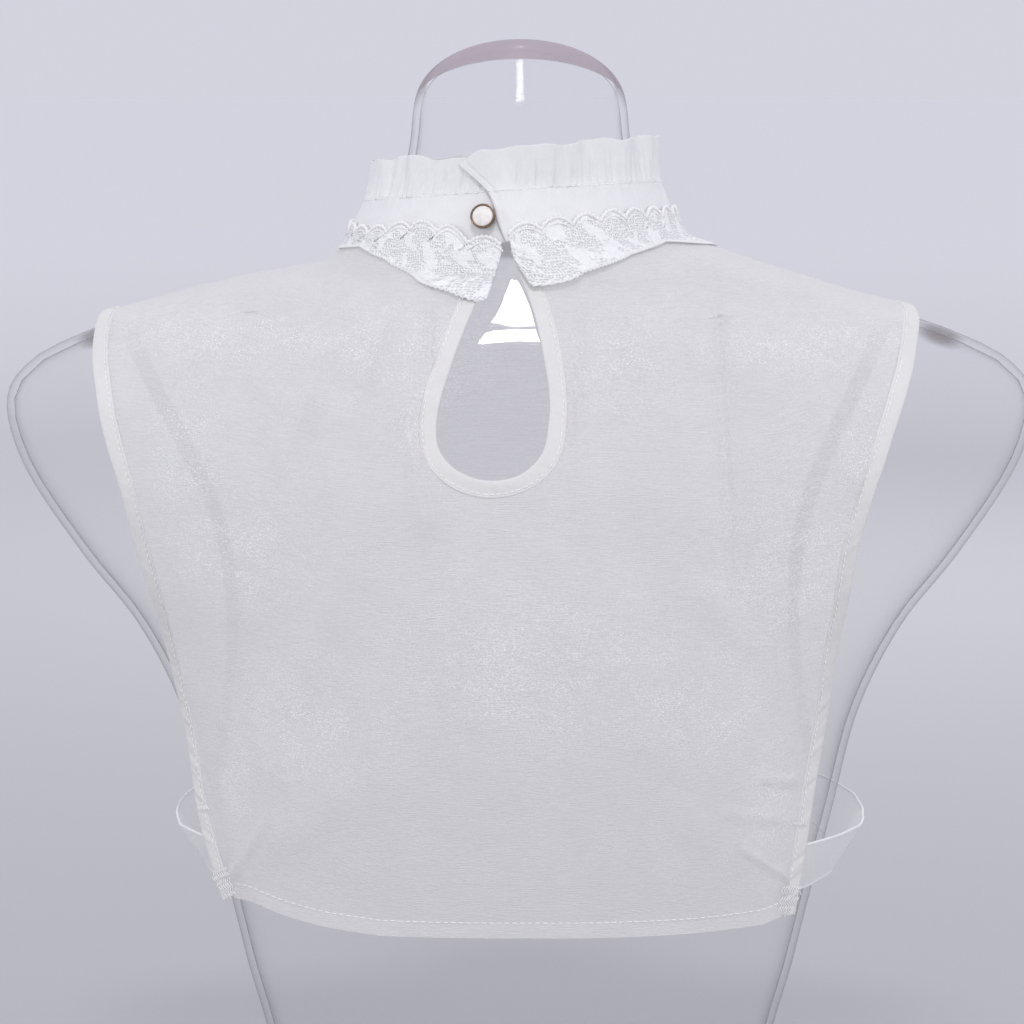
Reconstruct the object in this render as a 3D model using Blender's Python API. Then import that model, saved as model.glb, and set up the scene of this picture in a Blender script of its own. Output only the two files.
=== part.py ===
"""A sheer false collar on a clear dress form, seen from the back at -Y.

Every cloth piece is a thin wall worked out from one skin of stacked sections, which stands
just outside the dress form. Tables and sizes are in millimetres and degrees, and MM turns
them into metres. Angles run round the body: -90 is the centre back, 0 the right shoulder
ridge, 90 the centre front and 180 the left ridge.
"""

import bpy
import numpy as np
from mathutils import Vector

MM = 0.001
CENTRE_Y = 11.5

# Cloth and seams
CLOTH = 1.0
SEAM_GAP = 0.3
PANEL_LOW = 0.3
PANEL_HIGH = PANEL_LOW + CLOTH
RIDGE_GAP_ANGLE = 0.16
BINDING_WIDTH = 6.4
BINDING_LOW = 0.0
BINDING_HIGH = 1.6
HEM_DEPTH = 6.5
HEM_FOLD = 0.8

# Back and front panels
NECK_SEAM = 423.5
HEM_BLEND_TOP = 190.0
SHOULDER_TIP = 395.05
SHOULDER_LEAN = 1.25
BACK_COLUMNS = 13
FRONT_COLUMNS = 20

# Collar
BAND_BOTTOM = NECK_SEAM + 0.5
BAND_TOP = 442.7
BAND_COLUMNS = 62
LEFT_END = -84.0
OVERLAP_LIFT = 1.9
LIFT_START = -414.0
LIFT_FULL = -440.0
FRILL_GAP = 0.5
FRILL_GATHERS = 44
FRILL_FOOT_WAVE = 0.45
FRILL_EDGE_WAVE = 1.25
SCALLOPS = 26
SCALLOP_RISE = 3.2
LACE_LOW = 2.0
LACE_OVER_TAPE = 0.6
LACE_CORD = 0.9

# Side straps
STRAP_BOTTOM = 164.0
STRAP_TOP = 185.0
STRAP_LOW = -1.6
STRAP_HIGH = -0.4
STRAP_TUCK = 2.5
STRAP_LEAN = 10.5
STRAP_UNDER = 0.9
STRAP_CORNER = {"left": 17.0, "right": 6.0}

# Button
BUTTON_RADIUS = 4.85
BUTTON_RIM = 0.9
BUTTON_DEPTH = 2.6
BUTTON_ACROSS = -13.9
BUTTON_HEIGHT = 432.3
BUTTON_SEAT = 3.1
SHANK_RADIUS = 1.6
BUTTON_SIDES = 24

# Dress form
FORM_WALL = 3.0
FORM_SIDES = 36
FOOT_WIDTH = 14.0
FOOT_HEIGHT = 4.0


def table(names, rows):
    """Rows of numbers as one array for each named column."""
    values = np.array(rows, float)
    return {name: values[:, i] for i, name in enumerate(names.split())}


SECTION = "height half_width shift_x centre_y back front tilt roll power"

# The dress form: base, waist, chest, shoulder caps, neck and its slanted rounded rim.
FORM_SECTIONS = table(SECTION, [
    (0, 124, 0, 0, 100, 94, 0, 0, 2.3),
    (28, 119, 0, 0, 94, 90, 0, 0, 2.3),
    (75, 104.5, 0, 0, 80, 85, 0, 0, 2.3),
    (126, 115.5, 0, 0, 84, 98, 0, 0, 2.3),
    (188, 130.3, 0, 0, 90, 113, 0, 0, 2.3),
    (230, 140.6, 0, 0, 96, 124, 0, 0, 2.3),
    (266, 158, 0, 0, 101, 121, 0, 0, 2.3),
    (296, 181, 0, 0, 103, 107, 0, 0, 2.35),
    (331, 203.5, 0, 0, 102, 89.5, 0, 0, 2.4),
    (358, 210.5, 0, 0, 94.5, 73.5, 0, 0, 2.4),
    (374, 200, 0, 0, 88.5, 64, 0, 0, 2.3),
    (385, 178, 0, 0, 83.5, 57, 0, 0, 2.2),
    (390.5, 162, 0, 0, 80.8, 53.5, 0, 0, 2.1),
    (396, 142, 0, 0, 77.7, 51, 0, 0, 2.05),
    (401, 124, 0, 0, 75.2, 49.5, 0, 0, 2),
    (405.5, 105, 0, 0, 73, 48.5, 0, 0, 2),
    (410, 83, 0, 0, 70, 47.5, 1, 0, 2),
    (415, 71.5, 0, 0, 67, 46.5, 3, 0, 2),
    (420, 65.5, 0, -1, 63.2, 46.5, 6, 0, 2),
    (429, 57, 0, -3, 54, 47, 12, 0, 2),
    (441, 51, 0, -1, 49, 45.5, 18, 0, 2),
    (454, 46.8, 0, 4, 44.5, 44, 24, 0, 2),
    (467, 45, 0, 9, 42.8, 42.9, 28, 0, 2),
    (479, 44.2, 0, 13, 41.8, 41.5, 31, 0, 2),
    (486, 43, 0, 14, 40.5, 40.2, 31, 0, 2),
    (490.3, 40, 0, 15, 37.5, 37.5, 31, 0, 2),
    (492.3, 36, 0, 15.5, 33.5, 33.5, 31, 0, 2),
])

# The skin that the cloth lies on: it hangs straight below the shoulder blades and the
# bust, lies on the shoulders, and rises into the loose collar round the neck.
CLOTH_SECTIONS = table(SECTION, [
    (120, 141, 0, 0, 97, 122, 0, 0, 2.3),
    (176, 143.5, 0, 0, 100.5, 127.5, 0, 0, 2.3),
    (230, 147, 0, 0, 103, 129, 0, 0, 2.3),
    (266, 160.5, 0, 0, 105, 125.5, 0, 0, 2.3),
    (296, 183, 0, 0, 106, 111, 0, 0, 2.35),
    (331, 205.5, 0, 0, 105, 92.5, 0, 0, 2.4),
    (358, 213, 0, 0, 97.5, 76.5, 0, 0, 2.4),
    (374, 204, 0, 0, 91.5, 67, 0, 0, 2.3),
    (385, 186, 0, 0, 87, 60.5, 0, 0, 2.2),
    (391.5, 173.5, 0, 0, 83.5, 56.5, 0, 0, 2.1),
    (394.8, 160.5, 0, 0, 81.8, 54.5, 0, 0, 2.1),
    (400.3, 139.3, -1, 0, 79, 52.3, 0, 0, 2.05),
    (403.5, 128, 0, 0, 77.3, 51.3, 0, 0, 2.05),
    (407.6, 112.6, 2.5, 0, 75.3, 50.4, 0, 0, 2),
    (411.7, 92, 8, 0, 73.8, 50, 0, 0.2, 2),
    (416.6, 79, 4, 0, 72.3, 50, 0.5, 0.5, 2),
    (420, 71.8, 0, 0, 71.3, 50.5, 1, 0.8, 2),
    (423.5, 68, -2, 0, 70.3, 51.5, 1.5, 1, 2),
    (433, 63.8, -3, 0, 67, 54.5, 2.4, 2.5, 2),
    (442.7, 59.4, -3.2, 0, 63.5, 58.5, 3, 3.9, 2),
    (451, 57.6, -2.8, 0, 63.2, 60, 3, 4.6, 2),
    (462, 56.2, -2.4, 0, 64, 60.5, 3, 5, 2),
])

# Where each panel ends at the armholes, as distances left and right of the middle.
BACK_ARMHOLES = table("height left right", [
    (155, 114, 103.5), (165, 117, 105), (180, 121, 107.4), (200, 126, 110.3),
    (217, 128.5, 113), (243, 133, 117), (263, 136.5, 118.6), (285, 140.2, 122),
    (308, 145.5, 125), (328, 149.6, 130), (347, 155, 136.3), (358, 158, 140),
    (370, 160.6, 144.5), (381, 163, 148.6), (389, 164.3, 151.3), (393.5, 164.5, 153.2),
    (395.5, 164.5, 154.5),
])
FRONT_ARMHOLES = table("height left right", [
    (160, 131, 127), (185, 130, 126), (215, 126, 121), (255, 124, 118),
    (300, 131, 123), (340, 147, 136), (365, 157, 145), (381, 162, 149.5),
    (389, 164, 151.8), (393.5, 164.5, 153.2), (395.5, 164.5, 154.5),
])

# Hem heights across each panel.
BACK_HEM = table("across height", [
    (-125, 163.6), (-107, 163.2), (-92, 159.4), (-77, 157), (-55, 155.2), (0, 155.4),
    (70, 155), (96, 155.6), (105, 158.2), (113, 161.6),
])
FRONT_HEM = table("across height", [
    (-130, 168), (-100, 174), (-60, 181), (-20, 184), (20, 184), (60, 181), (100, 174),
    (130, 168),
])

# The keyhole's sewn edge above its round bottom, as left and right places.
KEYHOLE_WIDEST = 354.0
KEYHOLE_BOTTOM = 330.1
KEYHOLE_SIDES = table("height left right", [
    (354, -39.1, 16.9), (361, -38.9, 17.7), (369, -37.2, 17.5), (380, -33.5, 16.1),
    (391, -29.3, 14.1), (403, -24.2, 10.6), (413, -19.6, 6.8), (423.5, -13.9, 2.1),
])
KEYHOLE_MIDDLE_AT_HEM = -4.0

# Largest soft folds of each panel: a ridge from one end to the other.
BACK_FOLDS = table("x0 h0 x1 h1 width rise", [
    (-70, 414, -42, 352, 8, 3.0), (-80, 409, -128, 384, 8, 1.8),
    (80, 414, 88, 318, 9, 1.6), (-112, 178, -62, 215, 9, 1.4), (96, 182, 58, 204, 9, 1.2),
])
FRONT_FOLDS = table("x0 h0 x1 h1 width rise", [
    (58, 412, 40, 330, 9, 2.2), (-62, 410, -44, 340, 9, 2.2), (-104, 186, -70, 250, 10, 1.6),
    (100, 186, 74, 240, 10, 1.6),
])

# The collar's right end lies over the left one along a slanting edge.
RIGHT_END = table("height angle", [
    (424, -93), (431, -95.3), (438, -97), (443, -99.5), (447, -102.7), (457, -110.5),
    (462, -112),
])
# The lace's lower edge and its two ends at the centre back.
LACE_FOOT = table("angle height", [
    (-455, 407.6), (-447, 408.8), (-439, 413.2), (-418, 418.2), (-394, 421.4),
    (-366, 418.6), (-340, 416.5), (-270, 411), (-200, 416.5), (-180, 418.8), (-152, 421.8),
    (-137, 417.8), (-123, 411.8), (-104, 406), (-97, 402.6), (-90, 403.8),
])
LACE_HEAD = table("angle height", [
    (-455, 426.5), (-439, 429.2), (-412, 431.5), (-360, 430.8), (-270, 429), (-180, 430.4),
    (-148, 428), (-125, 430.6), (-112, 428.4), (-104, 424), (-90, 423.6),
])
LACE_LEFT_END = table("height across", [
    (402, -13.6), (407, -11.6), (416, -8.3), (423, -7.2), (432, -10.4),
])
LACE_RIGHT_END = table("height across", [(407, 4.4), (412, 1.6), (418, -2.2), (428, -5.6)])


class Skin:
    """Stacked sections with smooth sides. A section is an oval of separate back and front
    reach, shifted, and sheared by a tilt (front down) and a roll (right up)."""

    STEPS = 16

    def __init__(self, sections):
        rows = np.stack([sections[name] for name in SECTION.split()], axis=1)
        last = len(rows) - 1
        place = np.linspace(0, last, last * self.STEPS + 1)
        index = np.clip(place.astype(int), 0, last - 1)
        part = (place - index)[:, None]
        before, here, after, beyond = (
            rows[np.clip(index + step, 0, last)] for step in (-1, 0, 1, 2)
        )
        self.rows = 0.5 * (
            2 * here
            + (after - before) * part
            + (2 * before - 5 * here + 4 * after - beyond) * part**2
            + (3 * here - before - 3 * after + beyond) * part**3
        )

    def section(self, height):
        names = SECTION.split()[1:]
        heights = self.rows[:, 0]
        return {
            name: np.interp(height, heights, self.rows[:, i + 1])
            for i, name in enumerate(names)
        }

    def point(self, angle, height):
        """Places on the skin, in millimetres."""
        s = self.section(height)
        cos, sin = np.cos(np.radians(angle)), np.sin(np.radians(angle))
        bend = 2 / s["power"]
        x = s["shift_x"] + s["half_width"] * np.sign(cos) * np.abs(cos) ** bend
        reach = np.where(sin < 0, s["back"], s["front"])
        y = s["centre_y"] + reach * np.sign(sin) * np.abs(sin) ** bend
        z = height - np.tan(np.radians(s["tilt"])) * y + np.tan(np.radians(s["roll"])) * x
        return np.stack(np.broadcast_arrays(x, y, z), axis=-1)

    def normal(self, angle, height):
        """Outward directions, from the slopes along and up the skin."""
        along = self.point(angle + 0.3, height) - self.point(angle - 0.3, height)
        up = self.point(angle, height + 0.4) - self.point(angle, height - 0.4)
        out = np.cross(along, up)
        return out / np.linalg.norm(out, axis=-1, keepdims=True)

    def angle_at(self, across, height):
        """The angle from 0 to 180 at which the skin passes a place left or right."""
        s = self.section(height)
        share = np.clip((across - s["shift_x"]) / s["half_width"], -1, 1)
        turn = np.degrees(np.arccos(np.sign(share) * np.abs(share) ** (s["power"] / 2)))
        return np.clip(turn, RIDGE_GAP_ANGLE, 180 - RIDGE_GAP_ANGLE)


FORM = Skin(FORM_SECTIONS)
DRAPE = Skin(CLOTH_SECTIONS)


def clear_scene():
    for thing in list(bpy.data.objects):
        bpy.data.objects.remove(thing)


def material(name, colour, roughness, metallic=0.0, alpha=1.0):
    made = bpy.data.materials.new(name)
    made.use_nodes = True
    shader = made.node_tree.nodes["Principled BSDF"]
    shader.inputs["Base Color"].default_value = (*colour, 1.0)
    shader.inputs["Roughness"].default_value = roughness
    shader.inputs["Metallic"].default_value = metallic
    shader.inputs["Alpha"].default_value = alpha
    return made


def add_object(name, points, faces, finish):
    """One named object from places in millimetres."""
    mesh = bpy.data.meshes.new(name)
    places = (np.asarray(points) - (0, CENTRE_Y, 0)) * MM
    mesh.from_pydata(places.tolist(), [], [list(f) for f in faces])
    mesh.materials.append(finish)
    mesh.shade_smooth()
    mesh.set_sharp_from_angle(angle=np.radians(50))
    made = bpy.data.objects.new(name, mesh)
    bpy.context.collection.objects.link(made)
    return made


def block_triangles(ids):
    """Two triangles for each cell of a grid of vertex numbers, facing outwards."""
    a, b, c, d = ids[:-1, :-1], ids[:-1, 1:], ids[1:, 1:], ids[1:, :-1]
    halves = np.stack([np.stack([a, b, c], -1), np.stack([a, c, d], -1)], 2)
    return halves.reshape(-1, 3)


def thick_wall(name, points, normals, triangles, low, high, finish):
    """A closed wall between two heights above a sheet, with a rim along every edge."""
    low = np.broadcast_to(low, len(points))[:, None]
    high = np.broadcast_to(high, len(points))[:, None]
    count = len(points)
    both = np.concatenate([points + normals * high, points + normals * low])
    ends = np.concatenate([triangles[:, [0, 1]], triangles[:, [1, 2]], triangles[:, [2, 0]]])
    known = set(map(tuple, ends.tolist()))
    rim = [(b, a, a + count, b + count) for a, b in ends.tolist() if (b, a) not in known]
    faces = triangles.tolist() + (triangles[:, ::-1] + count).tolist() + rim
    return add_object(name, both, faces, finish)


def tape(name, edge, normals, outward, start, width, low, high, finish):
    """A flat strip beside an edge: four corners at each place, swept along it."""
    corners = [(start, low), (start + width, low), (start + width, high), (start, high)]
    rings = [edge + outward * side + normals * lift for side, lift in corners]
    points = np.stack(rings, axis=1).reshape(-1, 3)
    count = len(edge)
    faces = [
        (4 * i + k, 4 * i + (k + 1) % 4, 4 * i + 4 + (k + 1) % 4, 4 * i + 4 + k)
        for i in range(count - 1)
        for k in range(4)
    ]
    faces.append((3, 2, 1, 0))
    last = 4 * (count - 1)
    faces.append((last, last + 1, last + 2, last + 3))
    made = add_object(name, points, faces, finish)
    face_outwards(made)
    return made


def face_outwards(made):
    """Turns a closed mesh that is inside out, told by the sign of its volume."""
    mesh = made.data
    mesh.calc_loop_triangles()
    places = np.array([v.co for v in mesh.vertices])
    corners = places[np.array([t.vertices for t in mesh.loop_triangles])]
    if np.linalg.det(corners).sum() < 0:
        mesh.flip_normals()


def unit(vectors):
    return vectors / np.linalg.norm(vectors, axis=-1, keepdims=True)


def side_direction(edge, normals, away_from):
    """Across an edge in the sheet's plane, pointing away from the sheet's own middle."""
    along = np.gradient(edge, axis=0)
    across = unit(np.cross(along, normals))
    wrong = np.sum(across * (edge - away_from), axis=1) < 0
    across[wrong] *= -1
    return across


def fold_rise(folds, across, height):
    """Height of the soft folds: rounded across, and fading out towards both ends."""
    rise = np.zeros_like(across)
    for x0, h0, x1, h1, width, top in zip(*folds.values()):
        run = np.array([x1 - x0, h1 - h0])
        length = np.hypot(*run)
        run /= length
        along = ((across - x0) * run[0] + (height - h0) * run[1]) / length
        beside = (across - x0) * run[1] - (height - h0) * run[0]
        fade = np.clip(np.minimum(along + 0.15, 1.15 - along) / 0.4, 0, 1)
        rise += top * fade * np.exp(-((beside / width) ** 2))
    return rise


def row_ends(height, places):
    """Angles and heights at a row's left and right ends. Rows lean a little at the
    shoulders, so that one row meets both shoulder tips."""
    lean = SHOULDER_LEAN * np.exp(-(((height - SHOULDER_TIP) / 8) ** 2))
    heights = (height - lean, height + lean)
    if height >= SHOULDER_TIP:
        return (180 - RIDGE_GAP_ANGLE, RIDGE_GAP_ANGLE), heights
    left = -np.interp(height, places["height"], places["left"])
    right = np.interp(height, places["height"], places["right"])
    angles = (DRAPE.angle_at(left, heights[0]), DRAPE.angle_at(right, heights[1]))
    return angles, heights


def hem_heights(hem, across, share):
    """Heights of the rows that turn from the curved hem to a level row."""
    edge = np.interp(across, hem["across"], hem["height"])
    return edge + (HEM_BLEND_TOP - edge) * share


def hem_shares():
    """Rows above the hem: the edge, both sides of the turned fold, then evenly up."""
    full = HEM_BLEND_TOP - 155
    turned = HEM_DEPTH / full
    return [0.0, turned, turned + 0.03, 0.42, 0.7]


def keyhole_edges(height):
    """Left and right places of the keyhole's sewn edge: a half oval, then its sides."""
    left = np.interp(height, KEYHOLE_SIDES["height"], KEYHOLE_SIDES["left"])
    right = np.interp(height, KEYHOLE_SIDES["height"], KEYHOLE_SIDES["right"])
    middle = (left + right) / 2
    drop = np.clip((KEYHOLE_WIDEST - height) / (KEYHOLE_WIDEST - KEYHOLE_BOTTOM), 0, 1)
    half = (right - left) / 2 * np.sqrt(1 - drop**2)
    return middle - half, middle + half


def back_rows():
    """Level heights of the back panel's rows above the hem."""
    plain = [190, 208, 226, 244, 262, 280, 298, 315]
    keyhole = [330.1, 330.9, 333.3, 338, 345.5, 354, 362, 371, 380]
    shoulder = [386.5, 391, 393.2, 394.4, SHOULDER_TIP, 397.5, 400.3, 404, 408, 412, 416.6]
    shoulder += [420, NECK_SEAM]
    return plain + keyhole + shoulder


def panel_row(angles, heights, columns, share, folds, hem):
    """Points, normals and rise of one row of a panel, from its first end to its last."""
    mix = np.linspace(0, 1, columns + 1)
    angle = angles[0] + (angles[1] - angles[0]) * mix
    height = heights[0] + (heights[1] - heights[0]) * mix
    if share is not None:
        height = hem_heights(hem, DRAPE.point(angle, height)[:, 0], share)
    points = DRAPE.point(angle, height)
    rise = fold_rise(folds, points[:, 0], height)
    return points, DRAPE.normal(angle, height), rise


def make_back_panel(finish):
    """The back panel, with the keyhole slit open at the neck seam."""
    shares = hem_shares()
    nominal = [155 + (HEM_BLEND_TOP - 155) * s for s in shares]
    rows = [(h, s) for h, s in zip(nominal, shares)] + [(h, None) for h in back_rows()]
    count = BACK_COLUMNS + 1
    ids, points, normals, lows, highs = [], [], [], [], []
    for number, (height, share) in enumerate(rows):
        arms, arm_heights = row_ends(height, BACK_ARMHOLES)
        joined = height <= KEYHOLE_BOTTOM
        if joined:
            bottom = sum(keyhole_edges(KEYHOLE_BOTTOM)) / 2
            down = (KEYHOLE_BOTTOM - height) / (KEYHOLE_BOTTOM - 155)
            key = [bottom + (KEYHOLE_MIDDLE_AT_HEM - bottom) * down] * 2
        else:
            key = keyhole_edges(height)
        low = PANEL_LOW - (HEM_FOLD if number < 2 else 0)
        row_ids = []
        key = [DRAPE.angle_at(x, height) for x in key]
        halves = (
            ((-arms[0], -key[0]), (arm_heights[0], height)),
            ((-key[1], -arms[1]), (height, arm_heights[1])),
        )
        for side, (angles, heights) in enumerate(halves):
            p, n, rise = panel_row(angles, heights, BACK_COLUMNS, share, BACK_FOLDS, BACK_HEM)
            skip = 1 if side and joined else 0
            first = len(points)
            new = list(range(first, first + count - skip))
            row_ids.append((row_ids[0][-1:] if skip else []) + new)
            points += list(p[skip:])
            normals += list(n[skip:])
            lows += list(low + rise[skip:])
            highs += list(PANEL_HIGH + rise[skip:])
        ids.append(row_ids)
    left = np.array([row[0] for row in ids])
    right = np.array([row[1] for row in ids])
    triangles = np.concatenate([block_triangles(left), block_triangles(right)])
    points, normals = np.array(points), np.array(normals)
    thick_wall("back_panel", points, normals, triangles, np.array(lows), np.array(highs), finish)
    tip = 5 + back_rows().index(SHOULDER_TIP)
    split = 5 + back_rows().index(KEYHOLE_BOTTOM)
    return {
        "points": points,
        "normals": normals,
        "left": left[: tip + 1, 0],
        "right": right[: tip + 1, -1],
        "keyhole": np.concatenate([left[split:, -1][::-1], right[split + 1 :, 0]]),
        "middle": points[left[split, BACK_COLUMNS // 2]],
    }


def make_front_panel(finish):
    """The front panel, whole from hem to neck seam and from armhole to armhole."""
    shares = hem_shares()
    level = [190, 215, 240, 262, 285, 308, 331, 352, 370, 383, 390, 393.2, 394.4]
    level += [SHOULDER_TIP, 397.5, 400.3, 404, 408, 412, 416.6, 420, NECK_SEAM]
    nominal = [165 + (HEM_BLEND_TOP - 165) * s for s in shares]
    rows = [(h, s) for h, s in zip(nominal, shares)] + [(h, None) for h in level]
    points, normals, lows, highs = [], [], [], []
    for number, (height, share) in enumerate(rows):
        angles, heights = row_ends(height, FRONT_ARMHOLES)
        p, n, rise = panel_row(
            angles[::-1], heights[::-1], FRONT_COLUMNS, share, FRONT_FOLDS, FRONT_HEM
        )
        points.append(p)
        normals.append(n)
        lows.append(PANEL_LOW - (HEM_FOLD if number < 2 else 0) + rise)
        highs.append(PANEL_HIGH + rise)
    ids = np.arange(len(rows) * (FRONT_COLUMNS + 1)).reshape(len(rows), -1)
    points, normals = np.concatenate(points), np.concatenate(normals)
    lows, highs = np.concatenate(lows), np.concatenate(highs)
    thick_wall("front_panel", points, normals, block_triangles(ids), lows, highs, finish)
    tip = 5 + level.index(SHOULDER_TIP)
    return {
        "points": points,
        "normals": normals,
        "left": ids[: tip + 1, -1],
        "right": ids[: tip + 1, 0],
    }


def make_armhole_binding(side, back, front, finish):
    """Bias tape round one armhole: up the front edge, over the ridge, down the back."""
    chain = [front["points"][front[side]][:-1]]
    faces_out = [front["normals"][front[side]][:-1]]
    chain.append((front["points"][front[side]][-1:] + back["points"][back[side]][-1:]) / 2)
    faces_out.append(back["normals"][back[side]][-1:])
    chain.append(back["points"][back[side]][:-1][::-1])
    faces_out.append(back["normals"][back[side]][:-1][::-1])
    edge, normals = np.concatenate(chain), np.concatenate(faces_out)
    middle = np.stack([np.zeros(len(edge)), edge[:, 1], edge[:, 2]], axis=1)
    outward = side_direction(edge, normals, middle)
    tape("armhole_binding_" + side, edge, normals, outward, SEAM_GAP + 0.1, BINDING_WIDTH,
         BINDING_LOW, BINDING_HIGH, finish)


def make_keyhole_binding(back, finish):
    """The same tape round the keyhole, from the neck seam down and up again."""
    edge = back["points"][back["keyhole"]]
    normals = back["normals"][back["keyhole"]]
    inside = edge.copy()
    inside[:, 0] = -9.0
    inside[:, 2] = np.maximum(inside[:, 2], 362.0)
    outward = -side_direction(edge, normals, inside)
    tape("keyhole_binding", edge, normals, outward, SEAM_GAP, BINDING_WIDTH, BINDING_LOW,
         BINDING_HIGH, finish)


def make_strap(side, finish):
    """A flat strap from the back corner round the side to the front corner. Its lower
    edge leans in towards the waist, and runs on a little behind the back panel."""
    sign = 1 if side == "right" else -1
    heights = np.array([STRAP_BOTTOM, (STRAP_BOTTOM + STRAP_TOP) / 2, STRAP_TOP])
    mix = np.linspace(0, 1, 17)
    grid, lean = [], []
    for height in heights:
        drop = (STRAP_TOP - height) / (STRAP_TOP - STRAP_BOTTOM)
        corner = STRAP_CORNER[side] * drop
        back = np.interp(height, BACK_ARMHOLES["height"], BACK_ARMHOLES[side])
        front = np.interp(height, FRONT_ARMHOLES["height"], FRONT_ARMHOLES[side])
        start = -DRAPE.angle_at(sign * (back + STRAP_TUCK - corner), height)
        end = DRAPE.angle_at(sign * (front + STRAP_TUCK), height)
        if side == "left":
            start, end = end, start + 360
        grid.append(np.stack([start + (end - start) * mix, np.full(len(mix), height)], -1))
        lean.append(drop * (STRAP_UNDER + STRAP_LEAN * np.sin(np.pi * mix) ** 0.7))
    grid, lean = np.array(grid), np.array(lean).ravel()
    angle, height = grid[..., 0].ravel(), grid[..., 1].ravel()
    ids = np.arange(angle.size).reshape(len(heights), -1)
    thick_wall("side_strap_" + side, DRAPE.point(angle, height), DRAPE.normal(angle, height),
               block_triangles(ids), STRAP_LOW - lean, STRAP_HIGH - lean, finish)


def smooth_step(value):
    value = np.clip(value, 0, 1)
    return value * value * (3 - 2 * value)


def overlap_lift(turn):
    """How far the collar's right end stands out to lie over the left one."""
    return OVERLAP_LIFT * smooth_step((turn - LIFT_START) / (LIFT_FULL - LIFT_START))


def right_end(height):
    return np.interp(height, RIGHT_END["height"], RIGHT_END["angle"]) - 360


def collar_wall(name, grid_turn, grid_height, low, high, finish):
    """A wall on the collar's skin. Turns run backwards from the left end to the right."""
    turn, height = grid_turn.ravel(), grid_height.ravel()
    ids = np.arange(turn.size).reshape(grid_turn.shape)[:, ::-1]
    thick_wall(name, DRAPE.point(turn, height), DRAPE.normal(turn, height),
               block_triangles(ids), low.ravel(), high.ravel(), finish)


def make_band(finish):
    """The stand collar, a strip whose right end overlaps its left end."""
    rows = np.linspace(BAND_BOTTOM, BAND_TOP, 4)[:, None]
    mix = np.linspace(0, 1, BAND_COLUMNS + 1)[None]
    turn = LEFT_END + (right_end(rows) - LEFT_END) * mix
    height = rows + 0 * mix
    lift = overlap_lift(turn)
    collar_wall("collar_band", turn, height, lift, lift + CLOTH, finish)


def make_frill(finish):
    """The gathered frill above the band: four places to a gather, flat at its ends."""
    rows = np.array([BAND_TOP + FRILL_GAP, 450.5, 459.6])[:, None]
    mix = np.linspace(0, 1, FRILL_GATHERS * 4 + 1)[None]
    turn = LEFT_END - 6 + (right_end(rows) - LEFT_END + 6) * mix
    up = (rows - rows[0]) / (rows[-1] - rows[0])
    calm = smooth_step(np.minimum(mix, 1 - mix) / 0.07)
    uneven = 0.75 + 0.25 * np.sin(mix * 61) * np.cos(mix * 23)
    size = FRILL_FOOT_WAVE + (FRILL_EDGE_WAVE - FRILL_FOOT_WAVE) * up
    wave = size * calm * uneven * np.sin(2 * np.pi * FRILL_GATHERS * mix)
    edge_drop = 0.5 * calm * np.cos(mix * 83) * up
    lift = overlap_lift(turn) + wave
    collar_wall("collar_frill", turn, rows + edge_drop, lift, lift + CLOTH + 0.1, finish)


def make_lace(finish):
    """The lace: a scalloped head on the band, a straight foot on the panels and a point
    each side of the keyhole. Its cord is raised in the outer points along the scallops."""
    columns = SCALLOPS * 5
    mix = np.linspace(0, 1, columns + 1)[None]
    rows = np.array([1, 0.62, 0.3, 0.1, 0])[:, None]
    turn = -97.0 + (-452.0 + 97.0) * mix
    for _ in range(3):
        foot = np.interp(-turn, -LACE_FOOT["angle"][::-1], LACE_FOOT["height"][::-1])
        head = np.interp(-turn, -LACE_HEAD["angle"][::-1], LACE_HEAD["height"][::-1])
        bump = np.abs(np.sin(np.pi * SCALLOPS * mix)) ** 0.7
        top = head + SCALLOP_RISE * (bump - 0.5)
        height = top + (foot - top) * rows
        left = -DRAPE.angle_at(
            np.interp(height[:, :1], LACE_LEFT_END["height"], LACE_LEFT_END["across"]),
            height[:, :1],
        )
        right = -360 - DRAPE.angle_at(
            np.interp(height[:, -1:], LACE_RIGHT_END["height"], LACE_RIGHT_END["across"]),
            height[:, -1:],
        )
        turn = left + (right - left) * mix
    across = DRAPE.point(turn, height)[..., 0]
    at_back = np.sin(np.radians(turn)) < 0
    folds = np.where(
        at_back, fold_rise(BACK_FOLDS, across, height), fold_rise(FRONT_FOLDS, across, height)
    )
    over_tape = LACE_OVER_TAPE * smooth_step((turn + 116) / 8)
    low = np.maximum(LACE_LOW + folds + over_tape, overlap_lift(turn) + CLOTH + 0.4)
    cord = LACE_CORD * np.array([0, 0, 0, 1, 0.5])[:, None]
    grain = 0.2 * (np.indices(turn.shape).sum(0) % 2) * (rows > 0.2)
    collar_wall("lace_trim", turn, height, low, low + CLOTH + cord + grain, finish)


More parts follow.
